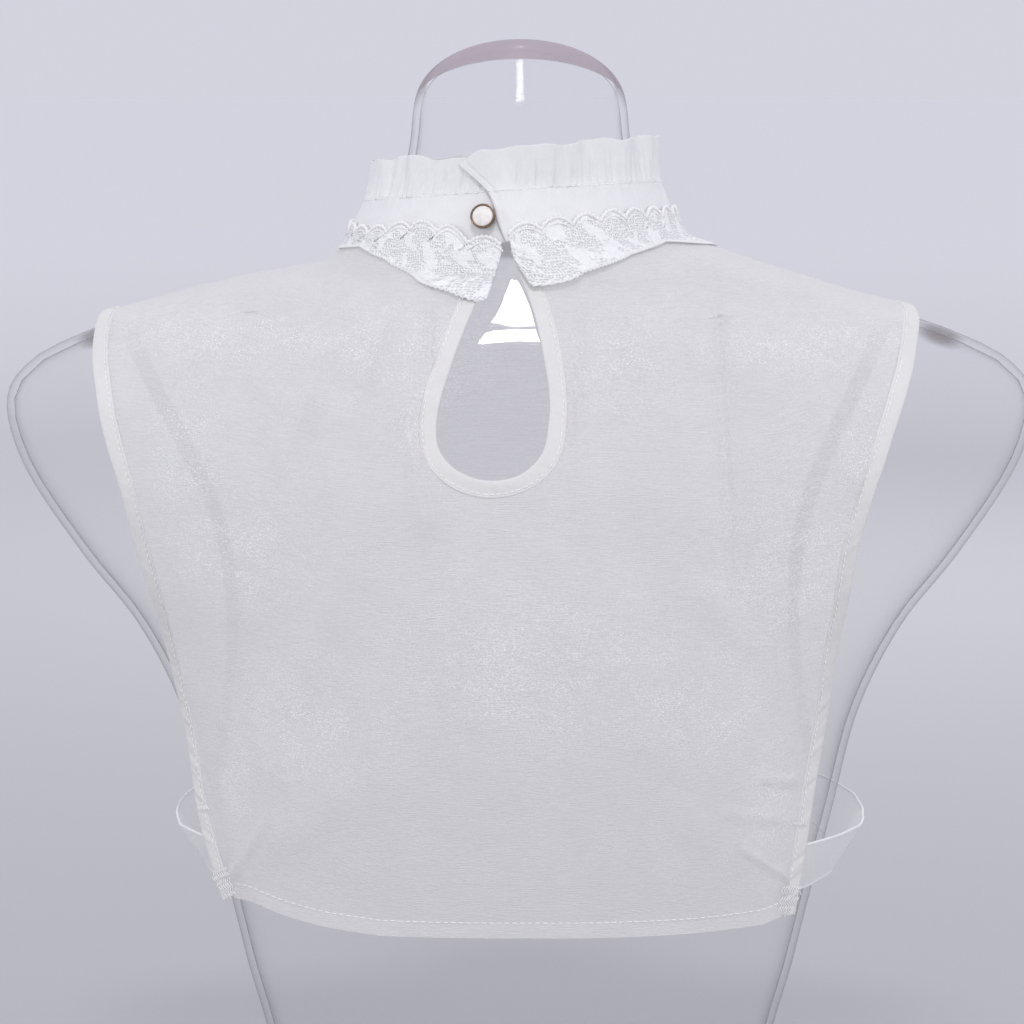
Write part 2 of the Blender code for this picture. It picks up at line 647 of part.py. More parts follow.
def make_form(finish):
    """The hollow dress form: an outer and an inner wall, a closed neck and an open foot
    with a flat inward flange."""
    heights = [0, 28, 52, 75, 100, 135, 170, 205, 235, 258, 280, 301, 322, 341, 357, 370,
               380, 386.5, 391.5, 397, 402.5, 408, 414, 420, 429, 441, 455, 468, 480, 486,
               490.3, 492.3]
    turns = np.linspace(0, 360, FORM_SIDES, endpoint=False)
    turns = turns + 4.0 * np.sin(np.radians(2 * turns))
    outer = [FORM.point(turns, h) for h in heights]
    inner_heights = [FOOT_HEIGHT] + heights[2:-3:2]
    inner = [
        FORM.point(turns, h) - FORM.normal(turns, max(h, 1)) * FORM_WALL for h in inner_heights
    ]
    inner.append(FORM.point(turns, 486) - FORM.normal(turns, 479) * FORM_WALL)
    rim = outer[0] - FORM.normal(turns, 1) * (FORM_WALL + FOOT_WIDTH)
    rim[:, 2] = 0
    rim_top = rim.copy()
    rim_top[:, 2] = FOOT_HEIGHT
    inner[0][:, 2] = FOOT_HEIGHT
    loops = [rim] + outer
    tops = [rim_top] + inner
    cap = outer[-1].mean(axis=0)
    inner_cap = inner[-1].mean(axis=0)
    points = np.concatenate(loops + tops + [cap[None], inner_cap[None]])
    ids = np.arange(len(loops) * FORM_SIDES).reshape(len(loops), -1)
    ids = np.concatenate([ids, ids[:, :1]], axis=1)
    offset = len(loops) * FORM_SIDES
    inner_ids = np.arange(len(tops) * FORM_SIDES).reshape(len(tops), -1) + offset
    inner_ids = np.concatenate([inner_ids, inner_ids[:, :1]], axis=1)
    faces = block_triangles(ids).tolist()
    faces += block_triangles(inner_ids)[:, ::-1].tolist()
    faces += block_triangles(np.stack([inner_ids[0], ids[0]])).tolist()
    cap_id = len(points) - 2
    for k in range(FORM_SIDES):
        faces.append((ids[-1, k], ids[-1, k + 1], cap_id))
        faces.append((inner_ids[-1, k + 1], inner_ids[-1, k], cap_id + 1))
    add_object("dress_form", points, faces, finish)


def turned(name, profile, place, axis, finish):
    """A shape of revolution from (radius, height) pairs that start and end on the axis."""
    axis = Vector(axis).normalized()
    side = axis.cross(Vector((0, 0, 1))).normalized()
    other = axis.cross(side)
    turns = np.linspace(0, 2 * np.pi, BUTTON_SIDES, endpoint=False)
    spokes = np.cos(turns)[:, None] * np.array(side) + np.sin(turns)[:, None] * np.array(other)
    points = [place + np.array(axis) * profile[0][1]]
    for radius, height in profile[1:-1]:
        points += list(place + np.array(axis) * height + spokes * radius)
    points.append(place + np.array(axis) * profile[-1][1])
    rings = len(profile) - 2
    faces = []
    for k in range(BUTTON_SIDES):
        after = (k + 1) % BUTTON_SIDES
        faces.append((0, 1 + k, 1 + after))
        for r in range(rings - 1):
            low, high = 1 + r * BUTTON_SIDES, 1 + (r + 1) * BUTTON_SIDES
            faces.append((low + k, high + k, high + after, low + after))
        top = 1 + (rings - 1) * BUTTON_SIDES
        faces.append((top + after, top + k, len(points) - 1))
    made = add_object(name, np.array(points), faces, finish)
    face_outwards(made)


def make_button(rim_finish, pearl_finish):
    """A shank button: a metal cup with a thin rim, and a pearly dome set in it."""
    angle = -DRAPE.angle_at(BUTTON_ACROSS, BUTTON_HEIGHT)
    normal = DRAPE.normal(angle, BUTTON_HEIGHT)
    place = DRAPE.point(angle, BUTTON_HEIGHT) + normal * BUTTON_SEAT
    inside = BUTTON_RADIUS - BUTTON_RIM
    shank_end = CLOTH + 0.35 - BUTTON_SEAT
    cup = [(0, shank_end), (SHANK_RADIUS, shank_end), (SHANK_RADIUS, 0),
           (BUTTON_RADIUS - 0.5, 0), (BUTTON_RADIUS, 0.5), (BUTTON_RADIUS, BUTTON_DEPTH - 0.3),
           (BUTTON_RADIUS - 0.35, BUTTON_DEPTH), (inside, BUTTON_DEPTH - 0.3), (inside, 0.8),
           (0, 0.8)]
    turned("button_rim", cup, place, normal, rim_finish)
    dome = inside - SEAM_GAP
    pearl = [(0, 0.8 + SEAM_GAP), (dome, 0.8 + SEAM_GAP), (dome, 2.2), (dome * 0.82, 3.0),
             (dome * 0.5, 3.7), (dome * 0.2, 4.1), (0, 4.2)]
    turned("button_pearl", pearl, place, normal, pearl_finish)


def main():
    clear_scene()
    clear = material("clear_form", (0.86, 0.86, 0.9), 0.05, alpha=0.25)
    sheer = material("sheer_cloth", (0.88, 0.88, 0.91), 0.6, alpha=0.8)
    sheer_front = material("sheer_front", (0.86, 0.86, 0.89), 0.6, alpha=0.8)
    binding = material("binding_tape", (0.89, 0.88, 0.87), 0.7)
    collar = material("collar_cloth", (0.92, 0.92, 0.93), 0.65)
    lace = material("lace_thread", (0.93, 0.92, 0.92), 0.7)
    gold = material("button_gold", (0.55, 0.38, 0.22), 0.25, metallic=1.0)
    pearl = material("button_pearl", (0.87, 0.84, 0.8), 0.2)
    make_form(clear)
    back = make_back_panel(sheer)
    front = make_front_panel(sheer_front)
    for side in ("left", "right"):
        make_armhole_binding(side, back, front, binding)
        make_strap(side, sheer)
    make_keyhole_binding(back, binding)
    make_band(collar)
    make_frill(collar)
    make_lace(lace)
    make_button(gold, pearl)


main()
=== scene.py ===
import bpy
import numpy as np
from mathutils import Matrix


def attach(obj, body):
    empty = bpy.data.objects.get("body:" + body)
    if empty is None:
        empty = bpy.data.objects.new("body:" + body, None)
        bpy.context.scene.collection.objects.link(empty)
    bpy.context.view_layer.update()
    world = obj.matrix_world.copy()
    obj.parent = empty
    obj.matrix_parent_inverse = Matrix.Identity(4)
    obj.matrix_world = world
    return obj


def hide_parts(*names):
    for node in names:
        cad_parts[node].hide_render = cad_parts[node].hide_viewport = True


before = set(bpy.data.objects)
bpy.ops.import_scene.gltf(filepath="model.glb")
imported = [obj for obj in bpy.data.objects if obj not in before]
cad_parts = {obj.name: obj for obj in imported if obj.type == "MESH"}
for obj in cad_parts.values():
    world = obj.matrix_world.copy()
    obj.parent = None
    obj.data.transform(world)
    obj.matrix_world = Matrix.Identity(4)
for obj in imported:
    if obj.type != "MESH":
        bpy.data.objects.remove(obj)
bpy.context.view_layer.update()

# The photographer's camera. It stands about 1.3 m behind the wearer's back, a little above
# the collar, and looks 8 degrees down, so that the level straps and hems show as rings.
camera = bpy.data.objects.new("camera", bpy.data.cameras.new("camera"))
bpy.context.collection.objects.link(camera)
camera.location = (-0.0034, -1.4115, 0.510)
camera.rotation_euler = (np.radians(90 - 8.142), 0, 0)
camera.data.angle = 2 * np.arctan(512 / 3414.4)
bpy.context.scene.camera = camera
bpy.context.scene.view_settings.view_transform = "Standard"
bpy.context.scene.cycles.transparent_max_bounces = 16


class Wire:
    """An output socket of a material. Arithmetic on it adds Math nodes."""

    def __init__(self, finish, socket):
        self.finish, self.socket = finish, socket

    def math(self, operation, *values, clamp=False):
        settings = {"operation": operation, "use_clamp": clamp}
        return self.finish.node("ShaderNodeMath", settings, *values)

    def __add__(self, other):
        return self.math("ADD", self, other)

    def __sub__(self, other):
        return self.math("SUBTRACT", self, other)

    def __rsub__(self, other):
        return self.math("SUBTRACT", other, self)

    def __mul__(self, other):
        return self.math("MULTIPLY", self, other)

    def __truediv__(self, other):
        return self.math("DIVIDE", self, other)

    def __pow__(self, other):
        return self.math("POWER", self, other)

    __radd__ = __add__
    __rmul__ = __mul__

    def rise(self, low, high):
        """0 below low and 1 above high, with a smooth step between them."""
        settings = {"interpolation_type": "SMOOTHSTEP"}
        return self.finish.node("ShaderNodeMapRange", settings, self, low, high)


class Finish:
    """A material. Constants go on the shader's own sockets, with _ for a space."""

    def __init__(self, name, **constants):
        self.material = bpy.data.materials.new(name)
        self.material.use_nodes = True
        self.tree = self.material.node_tree
        self.shader = self.tree.nodes["Principled BSDF"]
        for socket, value in constants.items():
            self.shader.inputs[socket.replace("_", " ")].default_value = value

    def node(self, kind, settings, *values, out=0, **named):
        """A node with its settings first, then the values or links of its sockets."""
        made = self.tree.nodes.new(kind)
        for setting, value in settings.items():
            setattr(made, setting, value)
        for key, value in list(enumerate(values)) + list(named.items()):
            if value is None:
                continue
            socket = made.inputs[key if isinstance(key, int) else key.replace("_", " ")]
            if isinstance(value, Wire):
                self.tree.links.new(value.socket, socket)
            else:
                socket.default_value = value
        return Wire(self, made.outputs[out])

    def vary(self, socket, wire):
        self.tree.links.new(wire.socket, self.shader.inputs[socket])

    def own_look(self):
        """The shader's own output, ready to be mixed with another."""
        return Wire(self, self.shader.outputs[0])

    def show(self, look):
        """Puts a mixed look in the place of the shader's own."""
        self.tree.links.new(look.socket, self.tree.nodes["Material Output"].inputs["Surface"])

    def blend(self, share, first, second):
        """A colour between two others."""
        empty = [None] * 5
        settings = {"data_type": "RGBA"}
        return self.node("ShaderNodeMix", settings, share, *empty, first, second, out=2)

    def scaled(self, vector, *scale):
        return self.node("ShaderNodeVectorMath", {"operation": "MULTIPLY"}, vector, scale)

    def cells(self, vector, scale, out="Distance", spread=1.0):
        """Small cells on the flat cloth, set on an even grid when spread is 0."""
        return self.node(
            "ShaderNodeTexVoronoi", {"voronoi_dimensions": "2D"},
            Vector=vector, Scale=scale, Randomness=spread, out=out,
        )

    def noise(self, vector, scale, detail=2.0, rough=0.5, sides="2D"):
        """Cloudy grain, on flat cloth unless sides is 3D."""
        return self.node(
            "ShaderNodeTexNoise", {"noise_dimensions": sides},
            Vector=vector, Scale=scale, Detail=detail, Roughness=rough,
        )

    def bump(self, height, strength, distance):
        """A height on a piece of the given real depth in metres, fed to its normal."""
        normal = self.node(
            "ShaderNodeBump", {}, Strength=strength, Distance=distance, Height=height
        )
        self.vary("Normal", normal)


# The studio: a pale floor that runs out to a pale lavender white, painted lighter and
# given a painted glow further out, a soft light high above the camera, broad ones in
# front, at each side and behind, and an even white surround.
FLOOR_SIDES = 48


def far_floor():
    """A flat disc of rings, each twice as far out as the one before."""
    turns = np.linspace(0, 2 * np.pi, FLOOR_SIDES, endpoint=False)
    rings = [0.35 * 2**k for k in range(7)]
    points = [(0, 0, 0)] + [(r * np.cos(t), r * np.sin(t), 0) for r in rings for t in turns]
    sides = [(k, (k + 1) % FLOOR_SIDES) for k in range(FLOOR_SIDES)]
    faces = [(0, 1 + k, 1 + after) for k, after in sides]
    for ring in range(len(rings) - 1):
        low = 1 + ring * FLOOR_SIDES
        high = low + FLOOR_SIDES
        faces += [(low + k, high + k, high + after, low + after) for k, after in sides]
    mesh = bpy.data.meshes.new("floor")
    mesh.from_pydata(points, [], faces)
    floor = bpy.data.objects.new("floor", mesh)
    bpy.context.collection.objects.link(floor)
    return floor


floor = far_floor()
floor_paper = Finish("studio_paper", Roughness=0.9)
floor_paper.shader.inputs["Specular IOR Level"].default_value = 0.1
spot = floor_paper.node("ShaderNodeTexCoord", {}, out="Object")
away = floor_paper.node("ShaderNodeVectorMath", {"operation": "LENGTH"}, spot, out="Value")
# Painted light: the floor's colour pales and its glow grows with distance from the middle, so it
# fades into the surround.
floor_paper.vary(
    "Base Color",
    floor_paper.blend(away.rise(0.2, 7.0), (0.455, 0.455, 0.465, 1), (0.62, 0.62, 0.64, 1)),
)
floor_paper.vary(
    "Emission Color",
    floor_paper.blend(away.rise(-0.2, 4.2), (0.0, 0.0, 0.0, 1), (0.238, 0.238, 0.256, 1)),
)
floor_paper.shader.inputs["Emission Strength"].default_value = 1.0
floor.data.materials.append(floor_paper.material)
floor.location.z = -0.0005

surround = bpy.data.worlds.new("surround")
surround.use_nodes = True
surround.node_tree.nodes["Background"].inputs["Color"].default_value = (0.655, 0.655, 0.735, 1)
surround.node_tree.nodes["Background"].inputs["Strength"].default_value = 1.0
bpy.context.scene.world = surround


def soft_light(name, place, aim, width, height, power, mirrored=False):
    """A rectangle of light. Only the mirrored one shows in the polished plastic."""
    lamp = bpy.data.lights.new(name, "AREA")
    lamp.shape = "RECTANGLE"
    lamp.size, lamp.size_y, lamp.energy = width, height, power
    made = bpy.data.objects.new(name, lamp)
    made.location = place
    made.visible_glossy = mirrored
    away = np.array(place) - np.array(aim)
    level = np.hypot(away[0], away[1])
    made.rotation_euler = (np.arctan2(level, away[2]), 0, np.arctan2(away[0], -away[1]))
    bpy.context.collection.objects.link(made)


soft_light("key_light", (-0.02, -1.66, 2.32), (0, 0, 0.35), 0.3, 0.28, 15, True)
soft_light("fill_light", (-0.4, -2.5, 0.55), (0, 0, 0.22), 2.0, 1.2, 9)
soft_light("left_light", (-1.9, -0.7, 1.0), (0, 0, 0.35), 0.5, 1.0, 5)
soft_light("right_light", (1.9, -0.7, 1.0), (0, 0, 0.35), 0.5, 1.0, 6)
soft_light("back_light", (0.3, 1.9, 1.4), (0, 0, 0.35), 1.2, 0.9, 12)


# The dress form: a clear, hollow plastic torso with no arms, moulded in one 3 mm wall. Its
# neck ends in a slanted rounded rim, and its foot stands on a flat inward flange.
SECTION = "height half_width shift_x centre_y back front tilt roll power".split()
CENTRE_Y = 11.5
FORM_SECTIONS = [
    (0, 124, 0, 0, 100, 94, 0, 0, 2.3),
    (28, 119, 0, 0, 94, 90, 0, 0, 2.3),
    (75, 104.5, 0, 0, 80, 85, 0, 0, 2.3),
    (126, 115.5, 0, 0, 84, 98, 0, 0, 2.3),
    (188, 130.3, 0, 0, 90, 113, 0, 0, 2.3),
    (230, 140.6, 0, 0, 96, 124, 0, 0, 2.3),
    (266, 158, 0, 0, 101, 121, 0, 0, 2.3),
    (296, 181, 0, 0, 103, 107, 0, 0, 2.35),
    (331, 203.5, 0, 0, 102, 89.5, 0, 0, 2.4),
    (358, 210.5, 0, 0, 94.5, 73.5, 0, 0, 2.4),
    (374, 200, 0, 0, 88.5, 64, 0, 0, 2.3),
    (385, 178, 0, 0, 83.5, 57, 0, 0, 2.2),
    (390.5, 162, 0, 0, 80.8, 53.5, 0, 0, 2.1),
    (396, 142, 0, 0, 77.7, 51, 0, 0, 2.05),
    (401, 124, 0, 0, 75.2, 49.5, 0, 0, 2),
    (405.5, 105, 0, 0, 73, 48.5, 0, 0, 2),
    (410, 83, 0, 0, 70, 47.5, 1, 0, 2),
    (415, 71.5, 0, 0, 67, 46.5, 3, 0, 2),
    (420, 65.5, 0, -1, 63.2, 46.5, 6, 0, 2),
    (429, 57, 0, -3, 54, 47, 12, 0, 2),
    (441, 51, 0, -1, 49, 45.5, 18, 0, 2),
    (454, 46.8, 0, 4, 44.5, 44, 24, 0, 2),
    (467, 45, 0, 9, 42.8, 42.9, 28, 0, 2),
    (479, 44.2, 0, 13, 41.8, 41.5, 31, 0, 2),
    (486, 43, 0, 14, 40.5, 40.2, 31, 0, 2),
    (490.3, 40, 0, 15, 37.5, 37.5, 31, 0, 2),
    (492.3, 36, 0, 15.5, 33.5, 33.5, 31, 0, 2),
]


class Skin:
    """Stacked ovals joined by smooth curves. Each has a back and a front reach, a shift,
    and a shear by its tilt (front down) and its roll (right side up)."""

    STEPS = 40

    def __init__(self, sections):
        rows = np.array(sections, float)
        last = len(rows) - 1
        place = np.linspace(0, last, last * self.STEPS + 1)
        index = np.clip(place.astype(int), 0, last - 1)
        part = (place - index)[:, None]
        before, here, after, beyond = (
            rows[np.clip(index + step, 0, last)] for step in (-1, 0, 1, 2)
        )
        self.rows = 0.5 * (
            2 * here
            + (after - before) * part
            + (2 * before - 5 * here + 4 * after - beyond) * part**2
            + (3 * here - before - 3 * after + beyond) * part**3
        )

    def section(self, height):
        heights = self.rows[:, 0]
        return {
            name: np.interp(height, heights, self.rows[:, i + 1])
            for i, name in enumerate(SECTION[1:])
        }

    def point(self, angle, height):
        """Places in millimetres: an oval of the section's power, sheared in height."""
        s = self.section(height)
        cos, sin = np.cos(np.radians(angle)), np.sin(np.radians(angle))
        bend = 2 / s["power"]
        x = s["shift_x"] + s["half_width"] * np.sign(cos) * np.abs(cos) ** bend
        reach = np.where(sin < 0, s["back"], s["front"])
        y = s["centre_y"] + reach * np.sign(sin) * np.abs(sin) ** bend
        z = height - np.tan(np.radians(s["tilt"])) * y + np.tan(np.radians(s["roll"])) * x
        return np.stack(np.broadcast_arrays(x, y - CENTRE_Y, z), axis=-1)

    def normal(self, angle, height):
        """Outward directions, from the slopes along and up the skin."""
        along = self.point(angle + 0.3, height) - self.point(angle - 0.3, height)
        up = self.point(angle, height + 0.4) - self.point(angle, height - 0.4)
        out = np.cross(along, up)
        return out / np.linalg.norm(out, axis=-1, keepdims=True)

    def angle_at(self, across, height):
        """The angle from 0 to 180 where the skin passes a place left or right."""
        s = self.section(height)
        share = np.clip((across - s["shift_x"]) / s["half_width"], -1, 1)
        return np.degrees(np.arccos(np.sign(share) * np.abs(share) ** (s["power"] / 2)))


def sheet_mesh(name, points, grids, flat, finish, caps=()):
    """A mesh from places in millimetres and grids of their numbers. The flat cloth's own
    coordinates, in metres, become its UV map."""
    faces = [
        np.stack([g[:-1, :-1], g[:-1, 1:], g[1:, 1:], g[1:, :-1]], -1).reshape(-1, 4)
        for g in grids
    ]
    faces = np.concatenate(faces).tolist() + [list(cap) for cap in caps]
    mesh = bpy.data.meshes.new(name)
    mesh.from_pydata((points * 0.001).tolist(), [], faces)
    corners = np.empty(len(mesh.loops), int)
    mesh.loops.foreach_get("vertex_index", corners)
    mesh.uv_layers.new(name="flat").data.foreach_set("uv", (flat[corners] * 0.001).ravel())
    mesh.materials.append(finish.material)
    smooth = np.arange(len(faces)) < len(faces) - len(caps)
    mesh.polygons.foreach_set("use_smooth", smooth)
    made = bpy.data.objects.new(name, mesh)
    bpy.context.collection.objects.link(made)
    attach(made, "root")
    return made


FORM = Skin(FORM_SECTIONS)
FORM_SIDES = 180
WALL, FLANGE_WIDTH, FLANGE_TOP = 3.0, 17.0, 4
INSIDE_MARK = 1000


def form_piece(finish):
    """Rings up the outer wall, over the closed rim, and down a parallel inner wall. The
    map keeps each place's turn and height, and the mark tells the inner wall apart."""
    turns = np.linspace(0, 360, FORM_SIDES, endpoint=False)
    heights = np.concatenate([np.linspace(0, 380, 90), np.linspace(383, 480, 50)])
    heights = np.concatenate([heights, np.linspace(481.5, 492.3, 14)])
    outer = [FORM.point(turns, h) for h in heights]
    inner_heights = heights[2:-8:2]
    inner = [FORM.point(turns, h) - FORM.normal(turns, h) * WALL for h in inner_heights]
    foot = FORM.point(turns, 0) - FORM.normal(turns, 1) * FLANGE_WIDTH
    low, high = foot.copy(), foot.copy()
    low[:, 2], high[:, 2] = 0, FLANGE_TOP
    inner_foot = FORM.point(turns, FLANGE_TOP) - FORM.normal(turns, FLANGE_TOP) * WALL
    inner_foot[:, 2] = FLANGE_TOP
    rings = inner[::-1] + [inner_foot, high, low] + outer
    count = len(rings)
    ids = np.arange(count * FORM_SIDES).reshape(count, FORM_SIDES)
    caps = [ids[-1].tolist(), ids[0][::-1].tolist()]
    levels = np.concatenate([inner_heights[::-1], [FLANGE_TOP, FLANGE_TOP, 0], heights])
    inside = np.where(np.arange(count) < len(inner), INSIDE_MARK, 0)[:, None]
    flat = np.stack(np.broadcast_arrays(turns + inside, levels[:, None]), -1).reshape(-1, 2)
    closed = np.concatenate([ids, ids[:, :1]], axis=1)
    return sheet_mesh("form_body", np.concatenate(rings), [closed], flat, finish, caps)


# Clear plastic shows as a dark line where its wall is seen edge on, as a grey rim on the
# neck, as brown rub marks on the shoulders, and else only as a glance of the studio.
clear = Finish("clear_form", Base_Color=(0.05, 0.05, 0.07, 1), Roughness=0.35)
clear.shader.inputs["Specular IOR Level"].default_value = 0.15
facing = clear.node("ShaderNodeLayerWeight", {}, 0.5, out="Facing")
map_point = clear.node("ShaderNodeUVMap", {"uv_map": "flat"})
level = clear.node("ShaderNodeSeparateXYZ", {}, map_point, out="Y")
spot = clear.node("ShaderNodeTexCoord", {}, out="Object")
depth = clear.node("ShaderNodeSeparateXYZ", {}, spot, out="Y")
outer = 1 - clear.node("ShaderNodeSeparateXYZ", {}, map_point, out="X").rise(0.6, 0.7)
rim = (level - depth * 0.13).rise(0.4836, 0.4846) * (1 - level.rise(0.4905, 0.4915))
rim = rim * outer * (1 - depth.rise(-0.01, 0.01))
RUB_MARK = (0.176, 0.008, 0.384)
mirrored = clear.node("ShaderNodeVectorMath", {"operation": "ABSOLUTE"}, spot)
off_mark = clear.node(
    "ShaderNodeVectorMath", {"operation": "DISTANCE"}, mirrored, RUB_MARK, out="Value"
)
rub = (1 - off_mark.rise(0.004, 0.013)) * (level * 2600.0).math("SINE").rise(-0.6, 0.6)
grey = clear.blend(rim, (0.05, 0.05, 0.07, 1), (0.37, 0.31, 0.34, 1))
clear.vary("Base Color", clear.blend(rub, grey, (0.27, 0.19, 0.15, 1)))
edge = facing ** 11.0 * 0.8 + 0.002
edge = edge.math("MAXIMUM", edge, rim * 0.8)
edge = edge.math("MAXIMUM", edge, rub * 0.7)
see_through = clear.node("ShaderNodeBsdfTransparent", {}, (0.993, 0.993, 0.995, 1))
gloss = clear.node("ShaderNodeBsdfAnisotropic", {}, (1, 1, 1, 1), 0.03)
body = clear.node("ShaderNodeMixShader", {}, edge, see_through, clear.own_look())
front_side = 1 - clear.node("ShaderNodeNewGeometry", {}, out="Backfacing") * 0.85
glance = (facing ** 4.0 * 0.35 + 0.028) * (outer * 0.85 + 0.15) * front_side
glance = glance * (1 - level.rise(0.44, 0.45) * 0.8)
polished = clear.node("ShaderNodeMixShader", {}, glance, body, gloss)
clear.show(polished)
form_body = form_piece(clear)
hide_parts("dress_form")

# The back panel: one layer of sheer off-white crepe with a fine level rib and a faint
# glitter, cut with a keyhole and long armholes, its hem turned up once and stitched.
CLOTH_SECTIONS = [
    (120, 141, 0, 0, 97, 122, 0, 0, 2.3),
    (176, 143.5, 0, 0, 100.5, 127.5, 0, 0, 2.3),
    (230, 147, 0, 0, 103, 129, 0, 0, 2.3),
    (266, 160.5, 0, 0, 105, 125.5, 0, 0, 2.3),
    (296, 183, 0, 0, 106, 111, 0, 0, 2.35),
    (331, 205.5, 0, 0, 105, 92.5, 0, 0, 2.4),
    (358, 213, 0, 0, 97.5, 76.5, 0, 0, 2.4),
    (374, 204, 0, 0, 91.5, 67, 0, 0, 2.3),
    (385, 186, 0, 0, 87, 60.5, 0, 0, 2.2),
    (391.5, 173.5, 0, 0, 83.5, 56.5, 0, 0, 2.1),
    (394.8, 160.5, 0, 0, 81.8, 54.5, 0, 0, 2.1),
    (400.3, 139.3, -1, 0, 79, 52.3, 0, 0, 2.05),
    (403.5, 128, 0, 0, 77.3, 51.3, 0, 0, 2.05),
    (407.6, 112.6, 2.5, 0, 75.3, 50.4, 0, 0, 2),
    (411.7, 92, 8, 0, 73.8, 50, 0, 0.2, 2),
    (416.6, 79, 4, 0, 72.3, 50, 0.5, 0.5, 2),
    (420, 71.8, 0, 0, 71.3, 50.5, 1, 0.8, 2),
    (423.5, 68, -2, 0, 70.3, 51.5, 1.5, 1, 2),
    (433, 63.8, -3, 0, 67, 54.5, 2.4, 2.5, 2),
    (442.7, 59.4, -3.2, 0, 63.5, 58.5, 3, 3.9, 2),
    (451, 57.6, -2.8, 0, 63.2, 60, 3, 4.6, 2),
    (462, 56.2, -2.4, 0, 64, 60.5, 3, 5, 2),
]
DRAPE = Skin(CLOTH_SECTIONS)
# How far the cloth's face stands out from the drape, and the radii that turn an angle
# round the chest or the neck into a length of cloth.
CLOTH_LIFT, CHEST_RADIUS, NECK_RADIUS = 0.75, 105, 63
NECK_SEAM = 423.5
HEM_TOP, BACK_HEM_LOW = 190.0, 155
SHOULDER_TIP, SHOULDER_LEAN = 395.05, 1.25
BACK_ARMHOLES = [
    (155, 114, 103.5), (165, 117, 105), (180, 121, 107.4), (200, 126, 110.3),
    (217, 128.5, 113), (243, 133, 117), (263, 136.5, 118.6), (285, 140.2, 122),
    (308, 145.5, 125), (328, 149.6, 130), (347, 155, 136.3), (358, 158, 140),
    (370, 160.6, 144.5), (381, 163, 148.6), (389, 164.3, 151.3), (393.5, 164.5, 153.2),
    (396.5, 164.5, 154.5),
]
BACK_HEM = [
    (-125, 163.6), (-107, 163.2), (-92, 159.4), (-77, 157), (-55, 155.2), (0, 155.4),
    (70, 155), (96, 155.6), (105, 158.2), (113, 161.6),
]
KEYHOLE_WIDEST, KEYHOLE_BOTTOM = 354.0, 330.1
# The middle line of the cloth, below the keyhole: where it starts, and how far it moves
# to the right in a given drop.
MIDDLE_START, MIDDLE_DRIFT, MIDDLE_DROP = -11.1, 7.1, 175
KEYHOLE_SIDES = [
    (354, -39.1, 16.9), (361, -38.9, 17.7), (369, -37.2, 17.5), (380, -33.5, 16.1),
    (391, -29.3, 14.1), (403, -24.2, 10.6), (413, -19.6, 6.8), (423.5, -13.9, 2.1),
]
# Each fold or crease: from x0, h0 to x1, h1, its half width, and its rise, all in
# millimetres.
BACK_FOLDS = [
    (-70, 414, -42, 352, 8, 3.0), (-80, 409, -128, 384, 8, 1.8), (80, 414, 88, 318, 9, 1.6),
    (-112, 178, -62, 215, 9, 1.4), (96, 182, 58, 204, 9, 1.2),
]
BACK_CREASES = [
    (-33.5, 412, -34, 379, 1.1, 1.1), (-36.5, 412, -37.5, 384, 1.0, 0.7),
    (23.5, 415, 20, 352, 1.2, 1.0), (-45, 413, -60, 372, 3.0, 1.5), (36, 414, 46, 372, 3.2, 1.2),
    (58, 415, 66, 384, 3.0, 1.0), (76, 412, 82, 300, 1.6, 1.2), (-100, 399, -120, 370, 4, 1.0),
    (-42, 352, -36, 316, 4.5, 1.2), (-118, 168, -98, 200, 2.0, 1.2), (107, 172, 84, 190, 1.5, 1.5),
    (108, 196, 78, 204, 1.6, 1.4), (110, 212, 92, 216, 1.5, 1.3), (-60, 330, -84, 250, 8, 1.0),
    (40, 300, 52, 220, 9, 0.9), (110, 390, 130, 330, 6, 1.1), (-140, 352, -126, 270, 5, 1.0),
    (-66, 412, -92, 340, 5, 1.3), (-86, 406, -140, 372, 4, 0.9), (92, 404, 140, 372, 5, 0.9),
    (64, 300, 96, 262, 6, 0.7), (-16, 322, -30, 250, 8, 0.8), (8, 318, 16, 262, 7, 0.6),
]


def through(table, height, column=1):
    """A smooth curve through a table's column: cubic pieces with shared slopes."""
    rows = np.array(table, float)
    xs, ys = rows[:, 0], rows[:, column]
    slopes = np.gradient(ys, xs)
    height = np.clip(height, xs[0], xs[-1])
    i = np.clip(np.searchsorted(xs, height) - 1, 0, len(xs) - 2)
    width = xs[i + 1] - xs[i]
    t = (height - xs[i]) / width
    return (
        (2 * t**3 - 3 * t**2 + 1) * ys[i]
        + (t**3 - 2 * t**2 + t) * width * slopes[i]
        + (3 * t**2 - 2 * t**3) * ys[i + 1]
        + (t**3 - t**2) * width * slopes[i + 1]
    )


def fold_rise(folds, across, height):
    """Ridges that are bell-shaped across and fade out at both ends."""
    rise = np.zeros(np.broadcast(across, height).shape)
    for x0, h0, x1, h1, width, top in folds:
        run = np.array([x1 - x0, h1 - h0], float)
        length = np.hypot(*run)
        run /= length
        along = ((across - x0) * run[0] + (height - h0) * run[1]) / length
        beside = (across - x0) * run[1] - (height - h0) * run[0]
        fade = np.clip(np.minimum(along + 0.15, 1.15 - along) / 0.4, 0, 1)
        rise += top * fade * fade * (3 - 2 * fade) * np.exp(-((beside / width) ** 2))
    return rise


def drift(across, height, seed, size, waves=9, longest=90.0):
    """Uneven softness: a few crossed sine waves of mixed length and direction."""
    draw = np.random.default_rng(seed)
    total = 0.0
    for _ in range(waves):
        length = longest * draw.uniform(0.25, 1)
        turn, start = draw.uniform(0, 2 * np.pi, 2)
        wave = (np.cos(turn) * across + np.sin(turn) * height) * 2 * np.pi / length + start
        total = total + np.sin(wave) * length / longest
    return size * total / waves**0.5


